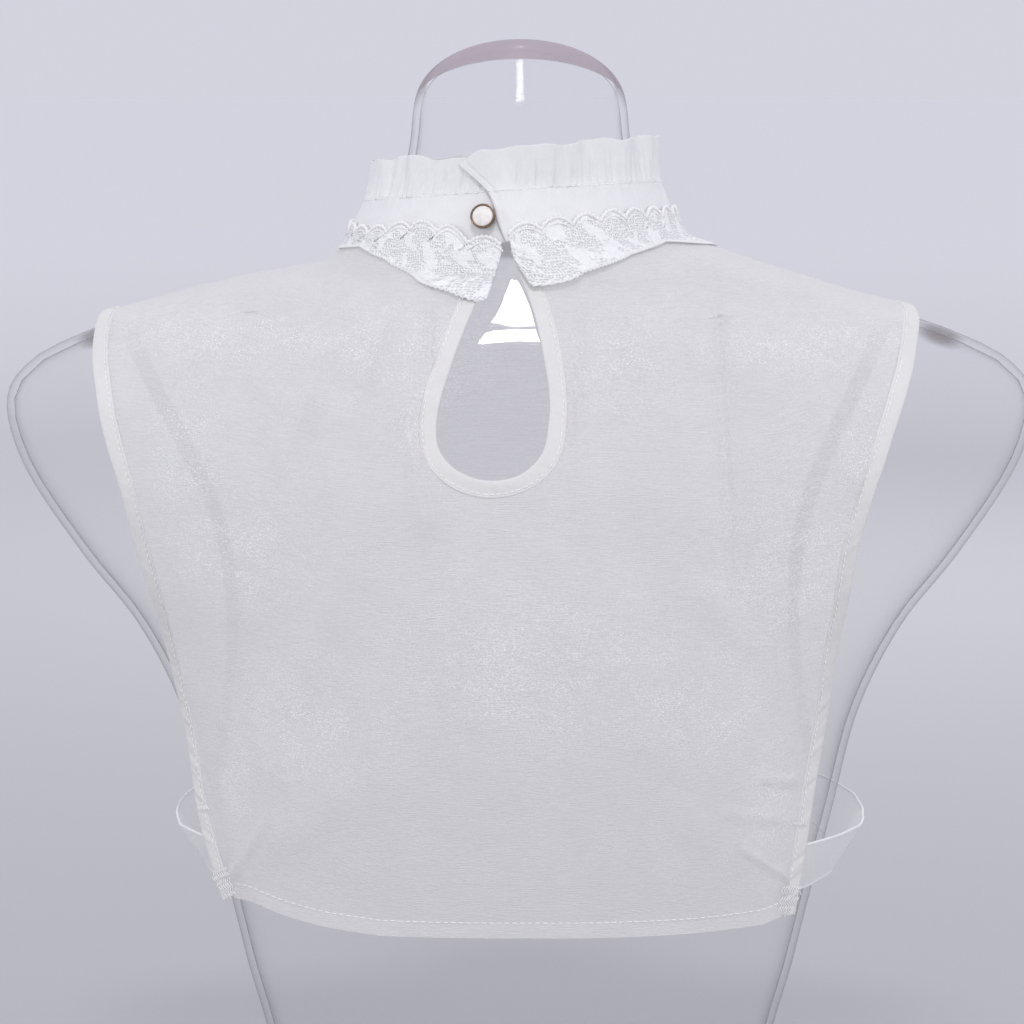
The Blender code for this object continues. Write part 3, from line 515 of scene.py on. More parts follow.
def row_ends(height, armholes):
    """Angles and heights at a row's left and right ends; rows lean at the shoulders."""
    lean = SHOULDER_LEAN * np.exp(-(((height - SHOULDER_TIP) / 8) ** 2))
    heights = (height - lean, height + lean)
    if height >= SHOULDER_TIP:
        return (180.0, 0.0), heights
    left = DRAPE.angle_at(-through(armholes, heights[0], 1), heights[0])
    return (left, DRAPE.angle_at(through(armholes, heights[1], 2), heights[1])), heights


def keyhole_edges(height):
    """Left and right edges: a half oval at the bottom, then the sides' smooth curves."""
    left = through(KEYHOLE_SIDES, max(height, KEYHOLE_WIDEST), 1)
    right = through(KEYHOLE_SIDES, max(height, KEYHOLE_WIDEST), 2)
    drop = np.clip((KEYHOLE_WIDEST - height) / (KEYHOLE_WIDEST - KEYHOLE_BOTTOM), 0, 1)
    half = (right - left) / 2 * np.sqrt(1 - drop**2)
    return (left + right) / 2 - half, (left + right) / 2 + half


def hem_row(angle, height, hem, share):
    """Heights of a row between the curved hem and the first level row."""
    across = DRAPE.point(angle, height)[..., 0]
    edge = np.interp(across, *np.array(hem, float).T)
    return edge + (HEM_TOP - edge) * share


def back_piece(finish):
    """Two halves, left and right of the keyhole, that share their points below it. Also
    gives its edges, as angles and heights, for the tapes and the stitches."""
    columns = 112
    mix = np.linspace(0, 1, columns + 1)
    shares = np.linspace(0, 1, 28)[:-1]
    bottom = KEYHOLE_BOTTOM + (KEYHOLE_WIDEST - KEYHOLE_BOTTOM) * (
        1 - np.cos(np.linspace(0, np.pi / 2, 22))
    )
    level = np.concatenate([
        np.arange(HEM_TOP, 329, 2.1), bottom, np.arange(357, 392, 2.4),
        np.arange(392.4, 395, 0.5), [SHOULDER_TIP], np.arange(396.2, NECK_SEAM, 1.3),
        [NECK_SEAM],
    ])
    rows = [(BACK_HEM_LOW + (HEM_TOP - BACK_HEM_LOW) * s, s) for s in shares]
    rows += [(h, None) for h in level]
    angles, heights = [], []
    for height, share in rows:
        arms, arm_heights = row_ends(height, BACK_ARMHOLES)
        if height <= KEYHOLE_BOTTOM:
            middle = MIDDLE_START + MIDDLE_DRIFT * (KEYHOLE_BOTTOM - height) / MIDDLE_DROP
            key = [DRAPE.angle_at(middle, height)] * 2
        else:
            key = [DRAPE.angle_at(x, height) for x in keyhole_edges(height)]
        for first, last, h0, h1 in (
            (-arms[0], -key[0], arm_heights[0], height),
            (-key[1], -arms[1], height, arm_heights[1]),
        ):
            angle = first + (last - first) * mix
            up = h0 + (h1 - h0) * mix
            angles.append(angle)
            heights.append(up if share is None else hem_row(angle, up, BACK_HEM, share))
    angles, heights = np.array(angles), np.array(heights)
    joined = sum(1 for height, _ in rows if height <= KEYHOLE_BOTTOM)
    ids = np.arange(angles.size).reshape(len(rows), 2, columns + 1)
    ids[:joined, 1, 0] = ids[:joined, 0, -1]
    base = DRAPE.point(angles, heights)
    across = base[..., 0]
    clear_of_seams = np.clip(np.minimum(heights - 205, 402 - heights) / 15, 0, 1)
    relief = (
        fold_rise(BACK_FOLDS, across, heights)
        + fold_rise(BACK_CREASES, across, heights) * (1 + 0.8 * clear_of_seams)
        + drift(across, heights, 3, 0.4)
    )
    points = base + DRAPE.normal(angles, heights) * (CLOTH_LIFT + relief)[..., None]
    span = np.radians(angles + 90) * CHEST_RADIUS
    above_hem = heights - np.interp(across, *np.array(BACK_HEM, float).T)
    flat = np.stack([span, above_hem], -1)
    used = np.unique(ids)
    renumber = np.full(angles.size, -1)
    renumber[used] = np.arange(len(used))
    grids = [renumber[ids[:, 0]], renumber[ids[:, 1]]]
    made = sheet_mesh(
        "back_cloth", points.reshape(-1, 3)[used], grids, flat.reshape(-1, 2)[used], finish
    )
    tip = next(i for i, row in enumerate(rows) if row[0] >= SHOULDER_TIP) + 1
    left = np.stack([angles[0::2][:tip, 0], heights[0::2][:tip, 0]], 1)
    right = np.stack([angles[1::2][:tip, -1], heights[1::2][:tip, -1]], 1)
    hem = np.concatenate([
        np.stack([angles[0], heights[0]], 1), np.stack([angles[1], heights[1]], 1)[1:]
    ])
    return made, {"left": left, "right": right, "hem": hem}


# Where the glitter gathers: across, height, half width and half height in millimetres.
GLITTER = [
    (-115, 389, 60, 10), (-130, 345, 16, 40), (-110, 308, 34, 26), (-52, 388, 30, 16),
    (-36, 365, 18, 24), (105, 300, 36, 42), (115, 386, 50, 12), (40, 380, 26, 22),
    (135, 345, 18, 30), (10, 262, 70, 34), (-80, 240, 40, 30), (-113, 215, 8, 30),
    (98, 205, 12, 34), (70, 250, 40, 30),
]


def mark_cloth(made):
    """Two values at each point: how thick the glitter lies, from soft-edged ovals and a
    little unevenness, and how dense the weave is, from broad crossed waves."""
    mesh = made.data
    places = np.empty(len(mesh.vertices) * 3)
    mesh.vertices.foreach_get("co", places)
    across, _, height = places.reshape(-1, 3).T * 1000
    glitter = np.clip(drift(across, height, 70, 0.3, 9, 60), 0, 0.5)
    for x, h, wide, tall in GLITTER:
        near = np.hypot((across - x) / wide, (height - h) / tall)
        fade = np.clip((1.35 - near) / 1.15, 0, 1)
        glitter = np.maximum(glitter, fade * fade * (3 - 2 * fade))
    for name, values in (("glitter", glitter), ("dense", drift(across, height, 71, 0.5, 9, 45))):
        kept = mesh.attributes.new(name, "FLOAT", "POINT")
        kept.data.foreach_set("value", values)


def crepe(name, colour, opacity):
    """Sheer crepe: level ribs, a slub, a grain, and glitter specks where the glitter
    lies thick, which glow with a painted glint. It looks denser where it is seen aslant,
    and so does the turned hem, which is two layers, and painted shade makes it a little
    darker low down. Two thirds of the light that it stops comes back from its face, and
    a third passes through to the other side."""
    made = Finish(name, Base_Color=(*colour, 1), Roughness=0.62, Sheen_Weight=0.2)
    made.shader.inputs["Sheen Roughness"].default_value = 0.4
    made.shader.inputs["Specular IOR Level"].default_value = 0.25
    flat = made.node("ShaderNodeUVMap", {"uv_map": "flat"})
    rib = made.noise(made.scaled(flat, 420, 2600, 1), 1.0, 1.0)
    slub = made.noise(made.scaled(flat, 170, 1200, 1), 1.0, 1.0)
    grain = made.noise(flat, 2500.0, 1.0)
    up = made.node("ShaderNodeSeparateXYZ", {}, flat, out="Y")
    soft = made.node("ShaderNodeAttribute", {"attribute_name": "dense"}, out="Fac")
    patch = made.node("ShaderNodeAttribute", {"attribute_name": "glitter"}, out="Fac")
    cell = made.cells(flat, 4300.0, out="Color")
    chance = made.node("ShaderNodeSeparateXYZ", {}, cell, out="X")
    cluster = made.noise(flat, 90.0, 1.0).rise(0.38, 0.6)
    speck = chance.rise(0.68, 1.0) * (patch * (cluster * 0.6 + 0.4) + 0.12)
    faint = chance.rise(0.5, 1.0) * 0.05
    turned = 1 - up.rise(0.0062, 0.0068)
    aslant = made.node("ShaderNodeLayerWeight", {}, 0.5, out="Facing")
    shade = rib * 0.15 + slub * 0.08 + soft * 0.04 + faint
    # Painted shade: the cloth's colour is a little darker within about 11 cm of the hem.
    shade = shade + (grain - 0.5) * (patch * 0.7 + 0.24) + up.rise(0.03, 0.11) * 0.1 - 0.02
    tone = made.blend(shade.rise(0.06, 0.36), (*(c * 0.89 for c in colour), 1), (*colour, 1))
    made.vary("Base Color", tone)
    # Painted glints: the glitter specks glow instead of mirroring the lamps.
    made.vary("Emission Color", made.blend(speck, (0, 0, 0, 1), (0.5, 0.5, 0.56, 1)))
    made.shader.inputs["Emission Strength"].default_value = 0.5
    made.bump(rib, 0.6, 0.0004)
    through_cloth = made.node("ShaderNodeBsdfTranslucent", {}, tone)
    woven = made.node("ShaderNodeMixShader", {}, 0.33, made.own_look(), through_cloth)
    dense = (slub - 0.5) * 0.08 + soft * 0.04 + speck * 0.15 + aslant * 0.42
    dense = dense + turned * (0.9 - opacity) + opacity
    gaps = made.node("ShaderNodeBsdfTransparent", {})
    cloth = made.node("ShaderNodeMixShader", {}, dense.math("MINIMUM", dense, 1.0), gaps, woven)
    made.show(cloth)
    return made


sheer_back = crepe("sheer_cloth", (0.90, 0.89, 0.88), 0.68)
back_cloth, back_edges = back_piece(sheer_back)
mark_cloth(back_cloth)
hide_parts("back_panel")

# The front panel: the same cloth, whole from the neck seam to its own turned hem, which
# ends a little higher than the back's.
FRONT_ARMHOLES = [
    (160, 131, 127), (185, 130, 126), (215, 126, 121), (255, 124, 118), (300, 131, 123),
    (340, 147, 136), (365, 157, 145), (381, 162, 149.5), (389, 164, 151.8),
    (393.5, 164.5, 153.2), (396.5, 164.5, 154.5),
]
FRONT_HEM_LOW = 165
FRONT_HEM = [
    (-130, 168), (-100, 174), (-60, 181), (-20, 184), (20, 184), (60, 181), (100, 174),
    (130, 168),
]
FRONT_FOLDS = [
    (58, 412, 40, 330, 9, 2.2), (-62, 410, -44, 340, 9, 2.2), (-104, 186, -70, 250, 10, 1.6),
    (100, 186, 74, 240, 10, 1.6),
]
FRONT_CREASES = [
    (30, 414, 24, 362, 4, 0.9), (-28, 414, -20, 370, 4, 0.8), (8, 414, 4, 384, 3, 0.6),
    (88, 398, 112, 340, 8, 0.9), (-92, 398, -116, 344, 8, 0.8), (-120, 176, -100, 196, 3, 0.9),
    (116, 176, 96, 198, 3, 0.9), (46, 300, 52, 210, 12, 0.7), (-50, 310, -40, 220, 12, 0.7),
    (-110, 300, -84, 268, 6, 0.7), (108, 296, 80, 262, 6, 0.8),
]


def front_piece(finish):
    """One whole grid from hem to neck seam. It gives its edges as the back does."""
    columns = 210
    mix = np.linspace(0, 1, columns + 1)
    shares = np.linspace(0, 1, 16)[:-1]
    level = np.concatenate([
        np.arange(HEM_TOP, 391, 3.6), np.arange(392, 395, 0.6), [SHOULDER_TIP],
        np.arange(396.2, NECK_SEAM, 1.5), [NECK_SEAM],
    ])
    rows = [(FRONT_HEM_LOW + (HEM_TOP - FRONT_HEM_LOW) * s, s) for s in shares]
    rows += [(h, None) for h in level]
    angles, heights = [], []
    for height, share in rows:
        arms, arm_heights = row_ends(height, FRONT_ARMHOLES)
        angle = arms[1] + (arms[0] - arms[1]) * mix
        up = arm_heights[1] + (arm_heights[0] - arm_heights[1]) * mix
        angles.append(angle)
        heights.append(up if share is None else hem_row(angle, up, FRONT_HEM, share))
    angles, heights = np.array(angles), np.array(heights)
    base = DRAPE.point(angles, heights)
    across = base[..., 0]
    relief = (
        fold_rise(FRONT_FOLDS, across, heights)
        + fold_rise(FRONT_CREASES, across, heights)
        + drift(across, heights, 8, 0.4)
    )
    points = base + DRAPE.normal(angles, heights) * (CLOTH_LIFT + relief)[..., None]
    above_hem = heights - np.interp(across, *np.array(FRONT_HEM, float).T)
    flat = np.stack([np.radians(angles - 90) * CHEST_RADIUS, above_hem], -1)
    ids = np.arange(angles.size).reshape(angles.shape)
    made = sheet_mesh("front_cloth", points.reshape(-1, 3), [ids], flat.reshape(-1, 2), finish)
    tip = next(i for i, row in enumerate(rows) if row[0] >= SHOULDER_TIP) + 1
    left = np.stack([angles[:tip, -1], heights[:tip, -1]], 1)
    right = np.stack([angles[:tip, 0], heights[:tip, 0]], 1)
    return made, {"left": left, "right": right, "hem": np.stack([angles[0], heights[0]], 1)}


# Painted light: this copy of the cloth is a little lighter than the back's, to brighten the front
# panel seen through the back.
sheer_front = crepe("sheer_front", (0.93, 0.92, 0.91), 0.70)
front_cloth, front_edges = front_piece(sheer_front)
mark_cloth(front_cloth)
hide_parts("front_panel")

# The bindings: opaque bias tape folded over the raw edges and topstitched close to its
# sewn edge. It puckers a little between the stitches, most of all low on the armholes.
TAPE_WIDTH = 6.6


def evenly(step, path, *others):
    """A path and what goes with it, read again at even steps along its length."""
    length = np.concatenate([[0], np.cumsum(np.linalg.norm(np.diff(path, axis=0), axis=1))])
    places = np.linspace(0, length[-1], max(int(length[-1] / step), 2) + 1)
    read = [
        np.stack([np.interp(places, length, column) for column in part.T], 1)
        for part in (path, *others)
    ]
    return (*read, places)


def smoothed(values, reach):
    """Each value averaged with its neighbours, the ends repeated."""
    padded = np.pad(values, ((reach, reach), (0, 0)), mode="edge")
    window = np.ones(2 * reach + 1) / (2 * reach + 1)
    return np.stack([np.convolve(column, window, mode="valid") for column in padded.T], 1)


def unit(vectors):
    return vectors / np.linalg.norm(vectors, axis=-1, keepdims=True)


def edge_frame(angle, height, away_from, step=0.9):
    """Along a seam on the drape: places, normals, the direction off the cloth, lengths."""
    path = DRAPE.point(angle, height)
    path, out, places = evenly(step, path, DRAPE.normal(angle, height))
    path, out = smoothed(path, 3), unit(smoothed(out, 6))
    off = unit(np.cross(np.gradient(path, axis=0), out))
    wrong = np.sum(off * (path - away_from(path)), axis=1) < 0
    off[wrong] *= -1
    return path, out, unit(smoothed(off, 3)), places


def tape_piece(name, seam, finish, seed, pucker, width=TAPE_WIDTH):
    """A strip swept along a seam: a flat tube, fuller at its fold, drawn in along its
    stitching, with slanting puckers that come and go."""
    path, out, off, places = seam
    around = np.linspace(0, 2 * np.pi, 28, endpoint=False)
    side = np.cos(around)
    reach = np.sign(side) * np.abs(side) ** 0.6
    across = width / 2 + (width / 2 + 0.1) * reach
    top = np.sign(np.sin(around)) * np.abs(np.sin(around)) ** 0.55
    draw = np.random.default_rng(seed)
    thick = 0.42 + 0.2 * (across > width * 0.55)
    groove = 0.24 * np.exp(-(((across - 1.4) / 0.5) ** 2))
    slant = places[:, None] + 0.9 * across[None]
    wrinkle = sum(
        np.sin(2 * np.pi * slant / length + draw.uniform(0, 6.3))
        for length in (3.1, 4.3, 6.1, 9.7)
    )
    come = 0.5 + 0.5 * np.sin(places / 17.0 + draw.uniform(0, 6.3)) * np.sin(places / 41.0)
    amount = (pucker(places) * (0.35 + 0.65 * come))[:, None]
    swell = np.clip(across / width, 0, 1) * (1 - np.clip(across / width, 0, 1)) * 4
    lift = 0.72 + top * thick + (top > 0) * (amount * wrinkle * 0.1 * swell - groove)
    lift = lift + drift(places, 0 * places, seed + 1, 0.1, 5, 40)[:, None]
    wander = drift(places, 0 * places, seed + 2, 0.16, 5, 50)[:, None] * (reach > 0)
    across = across[None] + wander
    points = (
        path[:, None] + off[:, None] * across[..., None] + out[:, None] * lift[..., None]
    )
    flat = np.stack(np.broadcast_arrays(places[:, None], across), -1)
    return closed_tube(name, points, flat, finish)


def closed_tube(name, points, flat, finish):
    """Rings of places joined round and end to end, with a flat cap at each end."""
    rings, sides = points.shape[:2]
    ids = np.arange(rings * sides).reshape(rings, sides)
    closed = np.concatenate([ids, ids[:, :1]], axis=1)
    caps = [ids[0].tolist(), ids[-1][::-1].tolist()]
    made = sheet_mesh(name, points.reshape(-1, 3), [closed], flat.reshape(-1, 2), finish, caps)
    face_out(made)
    return made


def face_out(made):
    """Turns a closed mesh whose volume is negative."""
    mesh = made.data
    mesh.calc_loop_triangles()
    places = np.array([v.co for v in mesh.vertices])
    corners = places[np.array([t.vertices for t in mesh.loop_triangles])]
    if np.linalg.det(corners).sum() < 0:
        mesh.flip_normals()


def close_cloth(name, colour, crease):
    """Opaque cloth: a fine crossed weave, soft shading and small crushed creases."""
    made = Finish(name, Base_Color=(*colour, 1), Roughness=0.75, Sheen_Weight=0.2)
    made.shader.inputs["Specular IOR Level"].default_value = 0.2
    flat = made.node("ShaderNodeUVMap", {"uv_map": "flat"})
    weft = made.noise(made.scaled(flat, 700, 3400, 1), 1.0, 1.5, 0.5)
    warp = made.noise(made.scaled(flat, 3400, 700, 1), 1.0, 1.5, 0.5)
    crush = made.noise(flat, 160.0, 3.0, 0.6)
    tone = (crush * 0.6 + weft * 0.4).rise(0.3, 0.62)
    made.vary(
        "Base Color", made.blend(tone, (*(c * 0.965 for c in colour), 1), (*colour, 1))
    )
    made.bump(weft * 0.35 + warp * 0.35 + crush * crease, 0.5, 0.0004)
    return made


tape_cloth = close_cloth("binding_tape", (0.74, 0.73, 0.71), 1.4)
seams = {}
for side, seed in (("left", 20), ("right", 30)):
    front, back = front_edges[side], back_edges[side].copy()
    if side == "left":
        back[:, 0] += 360
    route = np.concatenate([front, back[::-1][1:]])
    seams[side] = edge_frame(route[:, 0], route[:, 1], lambda p: p * (0, 1, 1))
    length = seams[side][3][-1]
    piece = tape_piece(
        "armhole_tape_" + side, seams[side], tape_cloth, seed,
        lambda s, length=length: 0.5 + 1.6 * np.clip((s - length + 120) / 60, 0, 1),
    )
    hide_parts("armhole_binding_" + side)

bottom = np.linspace(0, np.pi, 60)
key_sides = np.array(KEYHOLE_SIDES, float)
low_left, low_right = key_sides[0, 1:]
rise_heights = np.linspace(NECK_SEAM, KEYHOLE_WIDEST, 60)
key_x = np.concatenate([
    through(KEYHOLE_SIDES, rise_heights, 1),
    (low_left + low_right) / 2 - (low_right - low_left) / 2 * np.cos(bottom[1:-1]),
    through(KEYHOLE_SIDES, rise_heights[::-1], 2),
])
key_h = np.concatenate([
    rise_heights,
    KEYHOLE_WIDEST - (KEYHOLE_WIDEST - KEYHOLE_BOTTOM) * np.sin(bottom[1:-1]),
    rise_heights[::-1],
])


def beyond_keyhole(path):
    """Places outside the keyhole, level with each place of its edge."""
    centre = np.stack([
        np.full(len(path), -9.0), path[:, 1], np.maximum(path[:, 2], 362.0)
    ], 1)
    return 2 * path - centre


seams["keyhole"] = edge_frame(-DRAPE.angle_at(key_x, key_h), key_h, beyond_keyhole, 0.7)
keyhole_tape = tape_piece(
    "keyhole_tape", seams["keyhole"], tape_cloth, 40, lambda s: 0.35 + 0 * s
)
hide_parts("keyhole_binding")

# The side straps: flat doubled straps of the sheer cloth that join the bottom corners
# under the arms. They lean in at their lower edge, and both edges are turned, so that each
# shows as a fine raised line.
# Painted light: the straps' copy of the cloth is whiter than the panels', so they stand out
# brighter.
strap_cloth = crepe("strap_cloth", (0.96, 0.96, 0.96), 0.95)
fold_cloth = close_cloth("strap_fold", (0.86, 0.86, 0.86), 0.9)
STRAP_BOTTOM, STRAP_TOP = 164.0, 185.0
STRAP_CORNER = {"left": 17.0, "right": 6.0}


def cord_piece(name, path, radius, finish, sides=8):
    """A round cord swept along a path of places in millimetres."""
    along = unit(np.gradient(path, axis=0))
    other = unit(np.cross(along, np.array([0.0, 0.0, 1.0]) + 0.01))
    third = np.cross(along, other)
    around = np.linspace(0, 2 * np.pi, sides, endpoint=False)
    reach = np.broadcast_to(radius, len(path))[:, None, None]
    ring = other[:, None] * np.cos(around)[:, None] + third[:, None] * np.sin(around)[:, None]
    points = path[:, None] + reach * ring
    length = np.cumsum(np.linalg.norm(np.gradient(path, axis=0), axis=1))
    flat = np.stack(np.broadcast_arrays(length[:, None], around * np.mean(radius)), -1)
    return closed_tube(name, points, flat, finish)


def strap_piece(side):
    """A bent strip from the back corner to the front one, that hangs slack between them."""
    sign = 1 if side == "right" else -1
    column = 2 if side == "right" else 1
    height = np.linspace(STRAP_BOTTOM, STRAP_TOP, 22)[:, None]
    mix = np.linspace(0, 1, 120)[None]
    drop = (STRAP_TOP - height) / (STRAP_TOP - STRAP_BOTTOM)
    reach = through(BACK_ARMHOLES, height, column) + 2.5 - STRAP_CORNER[side] * drop
    back = -DRAPE.angle_at(sign * reach, height)
    front = DRAPE.angle_at(sign * (through(FRONT_ARMHOLES, height, column) + 3), height)
    if side == "left":
        back, front = front, back + 360
    angle = back + (front - back) * mix
    height = height + 0 * mix
    along = np.radians(angle) * CHEST_RADIUS
    ends = np.abs(np.sin(np.pi * mix)) ** 0.7
    relief = -0.8 - drop * (0.9 + 10.5 * ends) + ends * (
        drift(along, height, 50 + column, 0.8, 7, 60)
        + fold_rise([(0, 160, 0, 190, 6, 1.2)], along - along.mean() + 14 * sign, height)
    )
    points = DRAPE.point(angle, height) + DRAPE.normal(angle, height) * relief[..., None]
    ids = np.arange(angle.size).reshape(angle.shape)
    flat = np.stack([along, height - STRAP_BOTTOM + 8], -1)
    made = sheet_mesh(
        "strap_" + side, points.reshape(-1, 3), [ids], flat.reshape(-1, 2), strap_cloth
    )
    for place, row in (("low", 0), ("high", -1)):
        fold = cord_piece(f"strap_{place}_fold_{side}", points[row], 0.55, fold_cloth)
    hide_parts("side_strap_" + side)
    return made


straps = [strap_piece(side) for side in ("left", "right")]

# The collar band: a stand collar of close cloth. Its right end lies over its left end at
# the centre back, along a slanting folded edge.
LEFT_END = -84.0
OVERLAP_LIFT, LIFT_START, LIFT_FULL = 1.9, -414.0, -440.0
RIGHT_END = [
    (424, -93), (431, -95.3), (438, -97), (443, -99.5), (447, -102.7), (457, -110.5),
    (462, -112),
]
BAND_TOP = 443.0


def smooth_step(value):
    value = np.clip(value, 0, 1)
    return value * value * (3 - 2 * value)


def overlap_lift(turn):
    """How far the right end stands out over the left one."""
    return OVERLAP_LIFT * smooth_step((turn - LIFT_START) / (LIFT_FULL - LIFT_START))


def right_end(height):
    return through(RIGHT_END, height) - 360


def collar_sheet(name, turn, height, lift, finish):
    """A sheet on the collar. Its columns run backwards, so the grid is turned round."""
    points = DRAPE.point(turn, height) + DRAPE.normal(turn, height) * lift[..., None]
    points = points[:, ::-1]
    flat = np.stack([-np.radians(turn) * NECK_RADIUS, height - 424], -1)[:, ::-1]
    ids = np.arange(turn.size).reshape(turn.shape)
    return sheet_mesh(name, points.reshape(-1, 3), [ids], flat.reshape(-1, 2), finish)


def thicken(made, depth):
    """A real thickness inwards from the sheet's face."""
    wall = made.modifiers.new("thickness", "SOLIDIFY")
    wall.thickness, wall.offset = depth, -1
    return made


collar_cloth = close_cloth("collar_cloth", (0.80, 0.80, 0.80), 0.9)
band_rows = np.linspace(423.6, BAND_TOP, 26)[:, None]
band_mix = np.linspace(0, 1, 420)[None]
band_turn = LEFT_END + (right_end(band_rows) - LEFT_END) * band_mix
band_height = band_rows + 0 * band_mix
end_fold = smooth_step((band_turn - right_end(band_rows)) / 2.4)
band_lift = (
    overlap_lift(band_turn) + 0.98 + 0.3 * (1 - end_fold) * (band_mix > 0.5)
    + drift(band_turn * 1.1, band_height, 60, 0.16, 9, 26)
    + 0.12 * np.sin(band_turn * 1.9 + 3 * np.sin(band_turn * 0.21)) * smooth_step(
        (band_height - 433) / 9
    )
    - 0.3 * np.exp(-(((band_turn - right_end(band_rows) - 2.9) / 0.35) ** 2))
)
band = thicken(collar_sheet("band", band_turn, band_height, band_lift, collar_cloth), 0.0009)
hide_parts("collar_band")

# The frill: a strip of the same cloth gathered onto the top of the band, so it has many
# small tucks at its foot that open into a few soft waves at its free edge.
frill_rows = np.linspace(442.2, 459.6, 28)[:, None]
frill_mix = np.linspace(0, 1, 1050)[None]
frill_end = right_end(frill_rows)
frill_turn = (LEFT_END - 6) + (frill_end - LEFT_END + 6) * frill_mix
frill_up = (frill_rows - frill_rows[0]) / (frill_rows[-1] - frill_rows[0])
frill_calm = smooth_step(np.minimum(frill_mix, 1 - frill_mix) / 0.06)
sweep = np.radians(frill_turn)
wide = 0.85 * np.sin(13 * sweep + 1.5 * np.sin(3 * sweep + 1))
wide = wide + 0.5 * np.sin(27 * sweep + 2 * np.sin(5 * sweep) + 0.3 * frill_up)
tucks = np.sin(96 * sweep + 3 * np.sin(11 * sweep)) + 0.6 * np.sin(151 * sweep)
pinch = np.maximum(np.sin(44 * sweep + 2.5 * np.sin(4 * sweep)), 0) ** 8
frill_wave = (0.3 + 1.2 * frill_up**0.8) * wide + 0.24 * tucks * (1 - frill_up) ** 1.5
frill_wave = frill_wave - 0.8 * pinch * np.exp(-(((frill_up - 0.25) / 0.35) ** 2))
frill_height = frill_rows + frill_up * frill_calm * (
    0.5 * np.cos(13 * sweep) + 0.3 * np.sin(27 * sweep)
)
frill_round = 1 - smooth_step((frill_turn - frill_end) / 9.0)
frill_under = 1 - smooth_step((-frill_turn - 115) / 20)
frill_height = frill_height - frill_up**2 * (4.4 * frill_round + 3.0 * frill_under)
frill_lift = overlap_lift(frill_turn) + 0.75 + frill_calm * frill_wave
frill_lift = frill_lift - 0.3 * np.exp(-(((frill_turn - frill_end - 2.9) / 0.35) ** 2))
frill = collar_sheet("frill", frill_turn, frill_height, frill_lift, collar_cloth)
thicken(frill, 0.0004)
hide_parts("collar_frill")

# The lace: one strip of close net with corded scallops along its head and tiny picots
# along its foot, stitched over the neck seam, with a point each side of the keyhole.
SCALLOPS = 33
LACE_FOOT = [
    (-455, 407.6), (-447, 408.8), (-439, 413.2), (-418, 418.2), (-394, 421.4),
    (-366, 418.6), (-340, 416.5), (-270, 411), (-200, 416.5), (-180, 418.8), (-152, 421.8),
    (-137, 417.8), (-123, 411.8), (-104, 406), (-97, 402.6), (-90, 403.8),
]
LACE_HEAD = [
    (-455, 426.5), (-439, 429.2), (-412, 431.5), (-360, 430.8), (-270, 429), (-180, 430.4),
    (-148, 428), (-125, 430.6), (-112, 428.4), (-104, 424), (-90, 423.6),
]
LACE_LEFT_END = [(402, -13.6), (407, -11.6), (416, -8.3), (423, -7.2), (432, -10.4)]
LACE_RIGHT_END = [(407, 4.4), (412, 1.6), (418, -2.2), (428, -5.6)]


def lace_grid(rows, mix, scallop=3.2):
    """Turns and heights of the lace, from its foot (row 0) to its scalloped head (row 1)."""
    turn = -97.0 - 355.0 * mix + 0 * rows
    for _ in range(4):
        foot = np.interp(turn, *np.array(LACE_FOOT, float).T)
        head = np.interp(turn, *np.array(LACE_HEAD, float).T)
        bump = np.abs(np.sin(np.pi * SCALLOPS * mix)) ** 0.7
        top = head + scallop * (bump - 0.5)
        height = foot + (top - foot) * rows
        left = -DRAPE.angle_at(through(LACE_LEFT_END, height[:, :1]), height[:, :1])
        right = -360 - DRAPE.angle_at(through(LACE_RIGHT_END, height[:, -1:]), height[:, -1:])
        turn = left + (right - left) * mix
    return turn, height


def lace_lift(turn, height):
    """Clear of the panel's folds, the keyhole tape and the lifted end of the band."""
    across = DRAPE.point(turn, height)[..., 0]
    at_back = np.sin(np.radians(turn)) < 0
    folds = np.where(
        at_back, fold_rise(BACK_FOLDS, across, height), fold_rise(FRONT_FOLDS, across, height)
    )
    over_tape = 0.7 * smooth_step((turn + 116) / 8)
    return np.maximum(1.55 + folds, overlap_lift(turn) + 1.25) + over_tape


def lace_finish():
    """Close lace: net of small round holes, denser leaf shapes, and a thread's grain."""
    made = Finish("lace_thread", Base_Color=(0.88, 0.875, 0.87, 1), Roughness=0.8)
    made.shader.inputs["Specular IOR Level"].default_value = 0.2
    flat = made.node("ShaderNodeUVMap", {"uv_map": "flat"})
    warp = made.noise(flat, 180.0, 2.0)
    bent = made.node(
        "ShaderNodeVectorMath", {"operation": "MULTIPLY_ADD"}, warp, (0.0012, 0.0012, 0), flat
    )
    net = made.cells(bent, 1150.0, spread=0.5)
    leaf = made.noise(flat, 120.0, 2.5, 0.55).rise(0.5, 0.56)
    grain = made.noise(flat, 1700.0, 2.5)
    hole = (1 - net.rise(0.22, 0.42)) * (1 - leaf)
    shade = hole * 0.16 + (1 - grain) * 0.4
    made.vary("Base Color", made.blend(shade, (0.98, 0.975, 0.97, 1), (0.74, 0.74, 0.77, 1)))
    made.bump(net * 0.5 + leaf * 0.5 + grain * 0.9 - hole * 0.3, 0.8, 0.0007)
    made.vary("Alpha", 1 - hole * 0.2)
    return made


def leaves(turn, height):
    """Raised leaf shapes: crossed waves along and up the lace, kept where they add up."""
    along = -np.radians(turn) * 70
    up = height - 405
    wave = np.sin(along / 2.1 + 1.3 * np.sin(up / 2.4)) * np.sin(up / 1.9 + np.sin(along / 3.3))
    return smooth_step(wave * 1.4)


lace_thread = lace_finish()
lace_rows = np.linspace(0, 1, 46)[:, None]
lace_mix = np.linspace(0, 1, SCALLOPS * 26 + 1)[None]
lace_turn, lace_height = lace_grid(lace_rows, lace_mix)
lace_body = collar_sheet(
    "lace_net", lace_turn, lace_height,
    lace_lift(lace_turn, lace_height) + 0.4 + 0.25 * leaves(lace_turn, lace_height),
    lace_thread,
)
thicken(lace_body, 0.0004)
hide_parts("lace_trim")


